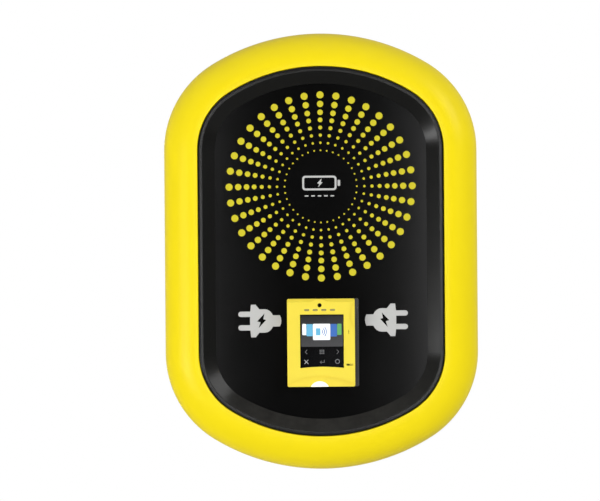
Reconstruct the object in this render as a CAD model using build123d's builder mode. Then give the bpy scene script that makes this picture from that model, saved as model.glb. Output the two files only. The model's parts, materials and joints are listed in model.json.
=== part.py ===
from build123d import *
from math import atan2, cos, degrees, radians, sin
import os

os.makedirs("parts", exist_ok=True)

# A wall-mounted charging box for two electric cars. Millimetres, +Z up, +X to the right as seen from the
# front. The wall is the plane Y = 0 and the whole box stands in front of it, at negative Y; "depth" is the
# distance in front of the wall. The origin lies on the wall, in the middle of the wall-bolt pattern.

# ---------------------------------------------------------------- driving dimensions

# Outline seen from the front: straight sides, haunch arcs and crown arcs, all tangent.
half_width = 183.3
half_height = 255.3
crown_rise = 137.0
haunch_radius = 118.9

# Wall bracket: a hat-shaped sheet whose feet lie on the wall.
bracket_sheet = 3.0
bracket_stand = 9.0
bracket_half_width = 95.0
bracket_half_height = 150.0
bracket_step = 65.0
wall_hole_x = 160.0
wall_hole_z = 240.0
wall_hole_radius = 4.25
hang_screw_x = 90.0
hang_screw_z = 200.0
hang_screw_length = 11.0
weld_nut = 6.5
weld_nut_height = 5.0

# Back box: a deep tray with a flat floor for the cable entry.
box_inset = 33.0
box_wall = 3.0
box_depth = 106.0
floor_rise = 41.3
post_radius = 7.0
post_height = 10.0
post_x = 200.0
post_z = 300.0
post_thread = 2.5
vent_depth = 60.0
vent_z = 95.0
vent_thread = 6.0
vent_head_radius = 9.0
vent_head = 6.0
vent_nut_hex = 9.5
chassis_inset = 44.0
chassis_sheet = 2.0
controller_width = 140.0

# Cable entry in the floor.
entry_width = 92.0
entry_length = 56.0
gland_plate_width = 110.0
gland_plate_length = 72.0
gland_plate_sheet = 2.0
gland_x = -22.0
gland_thread = 15.9
gland_hex = 20.8
gland_collar = 10.0
gland_nut_radius = 17.5
gland_nut_hex_height = 11.0
gland_nut_height = 17.0
gland_bore = 12.5
gland_seat = 13.6
seat_depth = 12.0
thread_end = 22.0
thread_up = 18.0
gland_locknut_hex = 21.5
locknut_height = 6.0
cable_radius = 9.0
plug_x = 26.0
plug_thread = 12.4
plug_head_radius = 14.5
plug_head = 4.0
plug_thread_up = 12.0
plug_locknut_hex = 17.0
plate_screw_y = 25.0

# Rails and the devices that snap onto them.
rail_height = 35.0
rail_depth = 7.5
rail_sheet = 1.0
rail_base = 27.0
module = 18.0
device_height = 85.0
device_body = 46.0
device_nose = 66.0
nose_height = 45.0
upper_rail_z = 130.0
middle_rail_z = 30.0
lower_rail_z = -150.0

# Socket outlets, one in each side wall.
socket_z = -75.0
flange_margin = 8.0
flange_plate = 5.0
flange_gasket = 1.5
flange_screw_inset = 8.0
flange_corner = 8.0
flange_to_leaf = 2.8
shell_bore = 30.0
shell_wall = 2.0
shell_depth = 52.0
insert_radius = 23.5
insert_flat = 20.5
power_pin = 3.05
signal_pin = 1.55
lid_margin = 4.0
lid_thickness = 12.0
lid_gap = 1.8
lid_skin = 4.0
lid_hinge_above = 5.0
lid_hinge_out = 12.0
lid_seal_width = 2.5
lid_pin_radius = 2.0
lock_pin_radius = 2.5

# Door: cowl, bezel, panel and the sheet-metal frame behind them.
seal_gap = 0.3
gasket_thickness = 2.7
gasket_width = 6.0
rear_flange = 8.0
frame_sheet = 2.0
frame_depth = 44.0
frame_wall_inset = 31.0
frame_plate_inset = 22.0
cowl_wall = 3.5
cowl_ring = 40.0
cowl_round = 38.0
cowl_proud = 11.0
cowl_rear_gap = 1.0
bezel_gap = 0.8
bezel_crest = 5.2
bezel_slope = 14.0
bezel_lip = 1.5
bezel_flange = 3.0
bezel_drop = 0.5
bezel_round = 1.2
panel_thickness = 4.0
panel_stand = 6.0
panel_gap = 0.3
boss_inset = 27.0
boss_radius = 4.0
boss_height = 16.5

# Door hinge on the left and lock on the right.
hinge_out = 12.7
hinge_ahead = 4.0
hinge_z = 85.0
hinge_length = 40.0
knuckle_radius = 5.0
knuckle_gap = 0.3
hinge_pin_radius = 3.0
leaf_sheet = 2.0
leaf_reach = 20.0
lock_setback = 18.0
lock_z = 60.0
lock_head_radius = 11.0
lock_head = 5.0
lock_body_length = 22.0
lock_nut_hex = 12.5
lock_nut_height = 5.0
cam_w = -26.3
cam_sheet = 3.0
lock_body_radius = 9.0
lock_core_radius = 5.0
cam_reach = 30.0
cam_half_width = 7.0

# Payment terminal.
terminal_z = -106.5
terminal_width = 80.6
terminal_height = 102.2
terminal_base = 3.0
case_wall = 3.0
terminal_thickness = 13.0
terminal_body_depth = 40.0
terminal_body_width = 66.0
terminal_body_height = 88.0
swipe_slot = 3.3
swipe_wall = 1.0
screen_width = 50.7
screen_top = 32.9
screen_bottom = -29.4
screen_bow = 1.5

# Screws, each given as shank radius, head radius and head height, and the holes they pass through.
hang_screw = (2.9, 5.5, 4.0)
post_screw = (2.4, 4.5, 3.0)
sheet_screw = (1.7, 3.2, 2.2)
flange_screw = (1.7, 3.1, 2.2)
cowl_screw = (1.6, 3.2, 2.4)
case_screw = (1.5, 2.9, 1.8)
screw_hole = 1.8
wide_screw_hole = 1.9

# Clearances: a fit, a loose fit and the running gap round a hinge pin.
fit = 0.1
loose = 0.3
pin_gap = 0.05

# ---------------------------------------------------------------- values that follow from them

straight_half = half_height - crown_rise
crown_radius = ((half_width - haunch_radius) ** 2 + crown_rise ** 2 - haunch_radius ** 2) \
    / (2 * (crown_rise - haunch_radius))
lean = degrees(atan2(straight_half - (half_height - crown_radius), half_width - haunch_radius))

box_rear = bracket_stand + bracket_sheet
box_rim = box_rear + box_depth
box_side = half_width - box_inset
floor_z = floor_rise - half_height
entry_depth = (box_rear + box_rim) / 2
chassis_rear = box_rear + box_wall + post_height
rail_rear = chassis_rear + chassis_sheet
rail_front = rail_rear + rail_depth
device_rear = rail_front - 5.5

flange_size = 2 * (shell_bore + flange_margin)
flange_screws = flange_size - 2 * flange_screw_inset
flange_front = flange_gasket + flange_plate
lid_size = flange_size - 2 * lid_margin
lid_hinge_rise = flange_size / 2 + lid_hinge_above
lid_rear = flange_front + lid_gap

gasket_rear = box_rim + seal_gap
frame_rear = gasket_rear + gasket_thickness
frame_front = frame_rear + frame_depth
plate_rear = frame_front - frame_sheet
cowl_rear = box_rim + cowl_rear_gap
lip_rear = frame_front + bezel_flange
panel_rear = frame_front + panel_stand
panel_front = panel_rear + panel_thickness
cowl_front = panel_front + cowl_proud
bezel_front = cowl_front - bezel_drop
bezel_inset = cowl_ring + bezel_gap
slope_inset = bezel_inset + bezel_crest
bezel_opening = slope_inset + bezel_slope
panel_inset = bezel_opening - 2.0
gasket_inset = box_inset - 1.0

hinge_x = -(box_side + hinge_out)
hinge_depth = box_rim + hinge_ahead
arm_offset = knuckle_radius - 0.8
socket_depth = hinge_depth - arm_offset - leaf_reach - flange_to_leaf - flange_size / 2
lock_depth = box_rim - lock_setback
terminal_base_front = panel_front + terminal_base
terminal_front = panel_front + terminal_thickness


# ---------------------------------------------------------------- helpers

def at_depth(depth):
    """The plane at a depth in front of the wall, facing the viewer: local x is X and local y is Z."""
    return Plane.XZ.offset(depth)


def facing_wall(depth):
    """The same plane facing the wall: local x is -X and local y is Z."""
    return Plane(origin=(0, -depth, 0), x_dir=(-1, 0, 0), z_dir=(0, 1, 0))


def facing_down(height):
    """A plane facing the ground: local x is X and local y is the depth."""
    return Plane(origin=(0, 0, height), x_dir=(1, 0, 0), z_dir=(0, 0, -1))


def across(x):
    """A plane facing +X: local x is minus the depth and local y is Z."""
    return Plane.YZ.offset(x)


def outline(inset):
    """The housing's outline, moved inward by inset."""
    width = half_width - inset
    haunch = haunch_radius - inset
    crown = crown_radius - inset
    with BuildSketch() as sketch:
        with BuildLine():
            CenterArc((width - haunch, straight_half), haunch, 0, lean)
            CenterArc((0, half_height - crown_radius), crown, lean, 180 - 2 * lean)
            CenterArc((haunch - width, straight_half), haunch, 180 - lean, lean)
            mirror(about=Plane.XZ)
            Line((width, -straight_half), (width, straight_half))
            Line((-width, straight_half), (-width, -straight_half))
        make_face()
    return sketch.sketch


def ring(outer_inset, inner_inset):
    """The band between two insets of the outline."""
    with BuildSketch() as sketch:
        add(outline(outer_inset))
        add(outline(inner_inset), mode=Mode.SUBTRACT)
    return sketch.sketch


def flat_bottomed(inset, floor):
    """The outline moved inward by inset and cut off flat at a height."""
    with BuildSketch() as sketch:
        add(outline(inset))
        with Locations((0, floor)):
            Rectangle(2 * half_width, half_height, align=(Align.CENTER, Align.MAX), mode=Mode.SUBTRACT)
    return sketch.sketch


def outline_point(inset, angle):
    """The point of an inset outline's upper right quarter whose normal leans by angle from +X."""
    if angle < lean:
        return (half_width - haunch_radius + (haunch_radius - inset) * cos(radians(angle)),
                straight_half + (haunch_radius - inset) * sin(radians(angle)))
    return ((crown_radius - inset) * cos(radians(angle)),
            half_height - crown_radius + (crown_radius - inset) * sin(radians(angle)))


def cylinders(plane, points, radius, start, end):
    """Round bars along a plane's normal, from start to end in front of it."""
    with BuildPart() as bars:
        with BuildSketch(plane.offset(start)):
            with Locations(*points):
                Circle(radius)
        extrude(amount=end - start)
    return bars.part


def screws(plane, points, size, length):
    """Screws with hex-socket heads that rest on a plane, and shanks that run behind it."""
    shank, head, head_height = size
    with BuildPart() as made:
        with BuildSketch(plane):
            with Locations(*points):
                Circle(shank)
        extrude(amount=-length)
        with BuildSketch(plane):
            with Locations(*points):
                Circle(head)
        extrude(amount=head_height)
        with BuildSketch(plane.offset(head_height)):
            with Locations(*points):
                RegularPolygon(head * 0.5, 6)
        extrude(amount=-head_height * 0.6, mode=Mode.SUBTRACT)
    return made.part


def rail_device(x, rail_z, width):
    """A device that snaps onto a rail: a stepped body with a raised nose and a groove for the rail."""
    with BuildPart() as device:
        with BuildSketch(across(x - width / 2 + fit)):
            with Locations((-device_rear, rail_z)):
                Rectangle(device_body, device_height, align=(Align.MAX, Align.CENTER))
                Rectangle(device_nose, nose_height, align=(Align.MAX, Align.CENTER))
                Rectangle(rail_front - device_rear, rail_height + 2 * loose,
                          align=(Align.MAX, Align.CENTER), mode=Mode.SUBTRACT)
        extrude(amount=width - 2 * fit)
        nose = device.faces().sort_by(Axis.Y)[0]
        chamfer(nose.edges(), 0.8)
    return device.part


def save(part, name):
    """Label a finished sub-part and write it to its own file."""
    part.label = name
    export_step(part, f"parts/{name}.step")


def four_ways(points):
    """Points of the upper right quarter, mirrored into all four."""
    return [(sx * x, sz * z) for x, z in points for sx in (1, -1) for sz in (1, -1)]


# ---------------------------------------------------------------- wall bracket

foot_width = bracket_half_width - bracket_step + bracket_sheet
nut_points = four_ways([(hang_screw_x / 2, hang_screw_z / 2)])

with BuildPart() as wall_bracket:
    with BuildSketch(Plane.XY):
        with Locations((0, -bracket_stand)):
            Rectangle(2 * bracket_step, bracket_sheet, align=(Align.CENTER, Align.MAX))
        with Locations((bracket_step, 0), (-bracket_step, 0)):
            Rectangle(bracket_sheet, box_rear, align=(Align.CENTER, Align.MAX))
        with Locations((bracket_half_width - foot_width / 2, 0), (foot_width / 2 - bracket_half_width, 0)):
            Rectangle(foot_width, bracket_sheet, align=(Align.CENTER, Align.MAX))
    extrude(amount=bracket_half_height, both=True)
    with BuildSketch(at_depth(bracket_sheet)):
        with GridLocations(wall_hole_x, wall_hole_z, 2, 2):
            Circle(wall_hole_radius)
    extrude(amount=-bracket_sheet, mode=Mode.SUBTRACT)
    # weld nuts behind the raised middle
    with BuildSketch(at_depth(bracket_stand)):
        with Locations(*nut_points):
            RegularPolygon(weld_nut, 6)
    extrude(amount=-weld_nut_height)
    with BuildSketch(at_depth(box_rear)):
        with Locations(*nut_points):
            Circle(hang_screw[0] + fit)
    extrude(amount=-box_rear, mode=Mode.SUBTRACT)
save(wall_bracket.part, "wall_bracket")

save(screws(at_depth(box_rear + box_wall), nut_points, hang_screw, hang_screw_length), "bracket_screws")

# ---------------------------------------------------------------- back box

post_points = four_ways([(post_x / 2, post_z / 2)])
socket_points = [(sy * flange_screws / 2, sz * flange_screws / 2) for sy in (1, -1) for sz in (1, -1)]
plate_screw_points = [(sx * (gland_plate_width / 2 - 4.5), entry_depth + sy * plate_screw_y)
                      for sx in (1, -1) for sy in (1, -1)]

with BuildPart() as back_box:
    with BuildSketch(at_depth(box_rear)):
        add(flat_bottomed(box_inset, floor_z))
    extrude(amount=box_depth)
    fillet(back_box.faces().sort_by(Axis.Y)[-1].edges(), box_wall + 1)
    with BuildSketch(at_depth(box_rim)):
        add(flat_bottomed(box_inset + box_wall, floor_z + box_wall))
    extrude(amount=box_wall - box_depth, mode=Mode.SUBTRACT)
    with BuildSketch(at_depth(box_rear)):
        with Locations(*post_points):
            Circle(post_radius)
    extrude(amount=box_wall + post_height)
    with BuildSketch(at_depth(chassis_rear)):
        with Locations(*post_points):
            Circle(post_thread)
    extrude(amount=-post_height, mode=Mode.SUBTRACT)
    with BuildSketch(at_depth(box_rear + box_wall)):
        with Locations(*nut_points):
            Circle(hang_screw[0] + loose)
    extrude(amount=-box_wall, mode=Mode.SUBTRACT)
    # openings for the two socket outlets, through both side walls
    with BuildSketch(across(0)):
        with Locations((-socket_depth, socket_z)):
            Circle(shell_bore + shell_wall + 1)
            with Locations(*socket_points):
                Circle(screw_hole)
    extrude(amount=half_width, both=True, mode=Mode.SUBTRACT)
    # lock and vent in the right wall
    with BuildSketch(across(box_side)):
        with Locations((-lock_depth, lock_z)):
            Circle(lock_body_radius + fit)
        with Locations((-vent_depth, vent_z)):
            Circle(vent_thread + fit)
    extrude(amount=-2 * box_wall, mode=Mode.SUBTRACT)
    # cable entry in the floor
    with BuildSketch(facing_down(floor_z)):
        with Locations((0, entry_depth)):
            Rectangle(entry_width, entry_length)
        with Locations(*plate_screw_points):
            Circle(screw_hole)
    extrude(amount=-box_wall, mode=Mode.SUBTRACT)
save(back_box.part, "back_box")

# ---------------------------------------------------------------- cable entry

plate_under = floor_z - gland_plate_sheet
under = facing_down(plate_under)
gland_at = [(gland_x, entry_depth)]

with BuildPart() as gland_plate:
    with BuildSketch(under):
        with Locations((0, entry_depth)):
            RectangleRounded(gland_plate_width, gland_plate_length, 4)
        with Locations((gland_x, entry_depth)):
            Circle(gland_thread + loose, mode=Mode.SUBTRACT)
        with Locations((plug_x, entry_depth)):
            Circle(plug_thread + loose, mode=Mode.SUBTRACT)
        with Locations(*plate_screw_points):
            Circle(wide_screw_hole, mode=Mode.SUBTRACT)
    extrude(amount=-gland_plate_sheet)
save(gland_plate.part, "gland_plate")

save(screws(under, plate_screw_points, sheet_screw, 9), "gland_plate_screws")

with BuildPart() as gland_body:
    with BuildSketch(under):
        with Locations((gland_x, entry_depth)):
            RegularPolygon(gland_hex, 6)
    extrude(amount=gland_collar)
    add(cylinders(under, gland_at, gland_thread, -thread_up, thread_end))
    add(cylinders(under, gland_at, gland_bore, -thread_up, thread_end), mode=Mode.SUBTRACT)
    add(cylinders(under, gland_at, gland_seat, seat_depth, thread_end), mode=Mode.SUBTRACT)
save(gland_body.part, "gland_body")

with BuildPart() as gland_seal:
    with BuildSketch(under.offset(seat_depth)):
        with Locations((gland_x, entry_depth)):
            Circle(gland_seat - fit)
            Circle(cable_radius, mode=Mode.SUBTRACT)
    extrude(amount=thread_end - seat_depth)
save(gland_seal.part, "gland_seal")

with BuildPart() as gland_nut:
    with BuildSketch(under.offset(gland_collar + 0.5)):
        with Locations(*gland_at):
            RegularPolygon(gland_hex, 6)
    extrude(amount=gland_nut_hex_height)
    with BuildSketch(under.offset(gland_collar + 0.5)):
        with Locations(*gland_at):
            Circle(gland_nut_radius)
    extrude(amount=gland_nut_height)
    fillet(gland_nut.faces().sort_by(Axis.Z)[0].edges(), 3)
    add(cylinders(under, gland_at, gland_thread + fit, gland_collar, thread_end + loose), mode=Mode.SUBTRACT)
    add(cylinders(under, gland_at, cable_radius + 2, gland_collar, gland_collar + gland_nut_height + 3),
        mode=Mode.SUBTRACT)
save(gland_nut.part, "gland_nut")

with BuildPart() as gland_locknuts:
    for x, thread, hexagon in ((gland_x, gland_thread, gland_locknut_hex),
                               (plug_x, plug_thread, plug_locknut_hex)):
        with BuildSketch(under.offset(-gland_plate_sheet)):
            with Locations((x, entry_depth)):
                RegularPolygon(hexagon, 6)
                Circle(thread + fit, mode=Mode.SUBTRACT)
        extrude(amount=-locknut_height)
save(gland_locknuts.part, "gland_locknuts")

with BuildPart() as blanking_plug:
    add(cylinders(under, [(plug_x, entry_depth)], plug_head_radius, 0, plug_head))
    add(cylinders(under, [(plug_x, entry_depth)], plug_thread, -plug_thread_up, 0))
    fillet(blanking_plug.faces().sort_by(Axis.Z)[0].edges(), 1)
    with BuildSketch(under.offset(plug_head)):
        with Locations((plug_x, entry_depth)):
            RegularPolygon(5, 6)
    extrude(amount=-3, mode=Mode.SUBTRACT)
save(blanking_plug.part, "blanking_plug")

right_wall = across(box_side)
vent_at = [(-vent_depth, vent_z)]

with BuildPart() as vent_plug:
    add(cylinders(right_wall, vent_at, vent_head_radius, 0, vent_head))
    fillet(vent_plug.faces().sort_by(Axis.X)[-1].edges(), 2)
    add(cylinders(right_wall, vent_at, vent_thread, -box_wall - 7, 0))
    with BuildSketch(right_wall.offset(-box_wall)):
        with Locations(*vent_at):
            RegularPolygon(vent_nut_hex, 6)
            Circle(vent_thread, mode=Mode.SUBTRACT)
    extrude(amount=-4)
    add(cylinders(right_wall, vent_at, 2.5, -box_wall - 7, vent_head / 2), mode=Mode.SUBTRACT)
save(vent_plug.part, "vent_plug")

# ---------------------------------------------------------------- chassis and rails

rails = {upper_rail_z: 220.0, middle_rail_z: 230.0, socket_z: controller_width, lower_rail_z: 180.0}
rail_screw_points = [(sx * (length / 2 - 5), z) for z, length in rails.items() for sx in (1, -1)]
stud_at = [(-115.0, -135.0)]
stud_radius = 3.0
notch_x = box_side - shell_depth - 16
notch_height = 2 * (shell_bore + shell_wall + 3)

with BuildPart() as chassis_plate:
    with BuildSketch(at_depth(chassis_rear)):
        add(flat_bottomed(chassis_inset, floor_z + 10))
        # notches that leave room for the outlets' shells
        with Locations((notch_x, socket_z)):
            Rectangle(half_width, notch_height, align=(Align.MIN, Align.CENTER), mode=Mode.SUBTRACT)
        with Locations((-notch_x, socket_z)):
            Rectangle(half_width, notch_height, align=(Align.MAX, Align.CENTER), mode=Mode.SUBTRACT)
        with Locations(*post_points):
            Circle(post_screw[0] + 0.4, mode=Mode.SUBTRACT)
        with Locations(*rail_screw_points):
            Circle(screw_hole, mode=Mode.SUBTRACT)
        with Locations(*stud_at):
            Circle(stud_radius + fit, mode=Mode.SUBTRACT)
    extrude(amount=chassis_sheet)
save(chassis_plate.part, "chassis_plate")

with BuildPart() as chassis_screws:
    add(screws(at_depth(rail_rear), post_points, post_screw, 10))
    add(screws(at_depth(rail_rear + rail_sheet), rail_screw_points, sheet_screw, 6))
save(chassis_screws.part, "chassis_screws")

with BuildPart() as din_rails:
    for z, length in rails.items():
        web_z = (rail_base - rail_sheet) / 2
        brim = (rail_height - rail_base) / 2 + rail_sheet
        with BuildSketch(across(-length / 2)):
            with Locations((-rail_rear, z)):
                Rectangle(rail_sheet, rail_base, align=(Align.MAX, Align.CENTER))
            with Locations((-rail_rear, z + web_z), (-rail_rear, z - web_z)):
                Rectangle(rail_depth, rail_sheet, align=(Align.MAX, Align.CENTER))
            for side in (1, -1):
                with Locations((-rail_front, z + side * (rail_height - brim) / 2)):
                    Rectangle(rail_sheet, brim, align=(Align.MIN, Align.CENTER))
        extrude(amount=length)
    with BuildSketch(at_depth(rail_rear + rail_sheet)):
        with Locations(*rail_screw_points):
            Circle(screw_hole)
    extrude(amount=-rail_sheet, mode=Mode.SUBTRACT)
save(din_rails.part, "din_rails")

with BuildPart() as earth_stud:
    add(cylinders(at_depth(chassis_rear), stud_at, stud_radius, -4, 22))
    with BuildSketch(at_depth(rail_rear)):
        with Locations(*stud_at):
            RegularPolygon(5.8, 6)
    extrude(amount=5)
    add(cylinders(at_depth(rail_rear), stud_at, 6.5, 5, 6.5))
save(earth_stud.part, "earth_stud")

# ---------------------------------------------------------------- devices on the rails

breaker_x = 3 * module
breaker_width = 4 * module
nose_depth = device_rear + device_nose
lever_depth = nose_depth - 5
lever_slot = 13.0
lever_drum = 5.0
trunnion = 1.5
button_at = 24.0
button_size = 6.0
button_well = 12.0
lever_tilt = 35.0

with BuildPart() as rcbo_cases:
    for x in (-breaker_x, breaker_x):
        add(rail_device(x, upper_rail_z, breaker_width))
    with BuildSketch(at_depth(nose_depth)):
        with Locations((-breaker_x, upper_rail_z), (breaker_x, upper_rail_z)):
            Rectangle(lever_slot, 22)
            with Locations((button_at, 0)):
                Rectangle(button_size, button_size)
    extrude(amount=-button_well, mode=Mode.SUBTRACT)
    for x in (-breaker_x, breaker_x):
        add(cylinders(across(x), [(-lever_depth, upper_rail_z)], trunnion + fit, -8, 8), mode=Mode.SUBTRACT)
save(rcbo_cases.part, "rcbo_cases")

for side, x in (("left", -breaker_x), ("right", breaker_x)):
    drum_plane = across(x)
    with BuildPart() as lever:
        add(cylinders(drum_plane, [(-lever_depth, upper_rail_z)], lever_drum, loose - lever_slot / 2,
                      lever_slot / 2 - loose))
        add(cylinders(drum_plane, [(-lever_depth, upper_rail_z)], trunnion, -7.8, 7.8))
        with BuildSketch(drum_plane.offset(-5)):
            with Locations(Location((-lever_depth, upper_rail_z), 180 - lever_tilt)):
                Rectangle(15, 5, align=(Align.MIN, Align.CENTER))
        extrude(amount=10)
    save(lever.part, f"{side}_rcbo_lever")

    with BuildPart() as test_button:
        with BuildSketch(at_depth(nose_depth - 6)):
            with Locations((x + button_at, upper_rail_z)):
                RectangleRounded(button_size - 2 * fit, button_size - 2 * fit, 0.8)
        extrude(amount=8)
        fillet(test_button.faces().sort_by(Axis.Y)[0].edges(), 0.5)
    save(test_button.part, f"{side}_test_button")

with BuildPart() as power_supply:
    add(rail_device(0, upper_rail_z, 2 * module))
    with BuildSketch(at_depth(device_rear + device_body)):
        with GridLocations(6, 0, 5, 1):
            with Locations((0, upper_rail_z + 33), (0, upper_rail_z - 33)):
                Circle(2)
    extrude(amount=-8, mode=Mode.SUBTRACT)
save(power_supply.part, "power_supply")

with BuildPart() as contactors:
    for x in (-module, module):
        add(rail_device(x, middle_rail_z, 2 * module))
    with BuildSketch(at_depth(nose_depth)):
        with Locations((-module, middle_rail_z), (module, middle_rail_z)):
            Rectangle(12, 5)
    extrude(amount=-2, mode=Mode.SUBTRACT)
save(contactors.part, "contactors")

with BuildPart() as energy_meters:
    for x in (-4 * module, 4 * module):
        add(rail_device(x, middle_rail_z, 4 * module))
    with BuildSketch(at_depth(nose_depth)):
        with Locations((-4 * module, middle_rail_z + 6), (4 * module, middle_rail_z + 6)):
            Rectangle(46, 18)
    extrude(amount=-1.5, mode=Mode.SUBTRACT)
save(energy_meters.part, "energy_meters")

with BuildPart() as controller_case:
    add(rail_device(0, socket_z, controller_width))
    with BuildSketch(at_depth(device_rear + device_body)):
        with Locations((0, socket_z + 32), (0, socket_z - 32)):
            with GridLocations(7, 1, 16, 1):
                Rectangle(5, 9)
    extrude(amount=-6, mode=Mode.SUBTRACT)
save(controller_case.part, "controller_case")

block_width = 8.0
block_count = 10
block_body = 30.0
block_height = 56.0
block_nose = 40.0
block_nose_height = 34.0
block_screw_z = 22.0


def terminal_block(x):
    """One feed-through terminal block, with a screw well at its top and bottom."""
    with BuildPart() as block:
        with BuildSketch(across(x - block_width / 2 + fit / 2)):
            with Locations((-device_rear, lower_rail_z)):
                Rectangle(block_body, block_height, align=(Align.MAX, Align.CENTER))
                Rectangle(block_nose, block_nose_height, align=(Align.MAX, Align.CENTER))
                Rectangle(rail_front - device_rear, rail_height + 2 * loose,
                          align=(Align.MAX, Align.CENTER), mode=Mode.SUBTRACT)
        extrude(amount=block_width - fit)
        with BuildSketch(at_depth(device_rear + block_body)):
            with Locations((x, lower_rail_z + block_screw_z), (x, lower_rail_z - block_screw_z)):
                Circle(2.4)
        extrude(amount=-10, mode=Mode.SUBTRACT)
    return block.part


with BuildPart() as terminal_blocks:
    for index in range(block_count):
        add(terminal_block((index - (block_count - 1) / 2) * block_width))
save(terminal_blocks.part, "terminal_blocks")

# ---------------------------------------------------------------- socket outlets

# Each outlet is described on its own side wall: local x is level, local y is up, and the normal points out.
# The left one is the right one turned half a turn about an upright line, so its contacts keep their order.
socket_walls = {
    "right": Plane(origin=(box_side, -socket_depth, socket_z), x_dir=(0, 1, 0), z_dir=(1, 0, 0)),
    "left": Plane(origin=(-box_side, -socket_depth, socket_z), x_dir=(0, -1, 0), z_dir=(-1, 0, 0)),
}
shell_radius = shell_bore + shell_wall
ear_u = 26.0
ear_width = 8.0
barrel_half = ear_u - ear_width / 2 - 0.5
barrel_radius = 5.0
spring_half = 7.5
lock_w = -20.0
actuator_width = 24.0
actuator_height = 26.0
actuator_w = lock_w - actuator_width / 2
saddle_top = shell_radius + 1
saddle_width = 20.0
ear_height = 14.0
head_pocket = 2.5
contact_tail = 1.5
lid_seal_inner = shell_bore + 1
lid_pin_half = 31.0
power_contacts = [(0, 0), (-16, 0), (16, 0), (-8.5, -13.5), (8.5, -13.5)]
signal_contacts = [(-7, 13.3), (7, 13.3)]
sleeve_wall = 1.75
insert_front = 2.0
insert_floor = 2.0


def hinge_line(wall):
    """The lid hinge of an outlet: the normal runs along the hinge pin."""
    origin = wall.from_local_coords((0, lid_hinge_rise, lid_hinge_out))
    return Plane(origin=origin, x_dir=wall.z_dir, z_dir=wall.x_dir)


def lock_line(wall):
    """The lock pin of an outlet, standing on the shell's saddle: the normal points up."""
    origin = wall.from_local_coords((0, 0, lock_w))
    return Plane(origin=origin, x_dir=wall.x_dir, z_dir=wall.y_dir)


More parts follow.
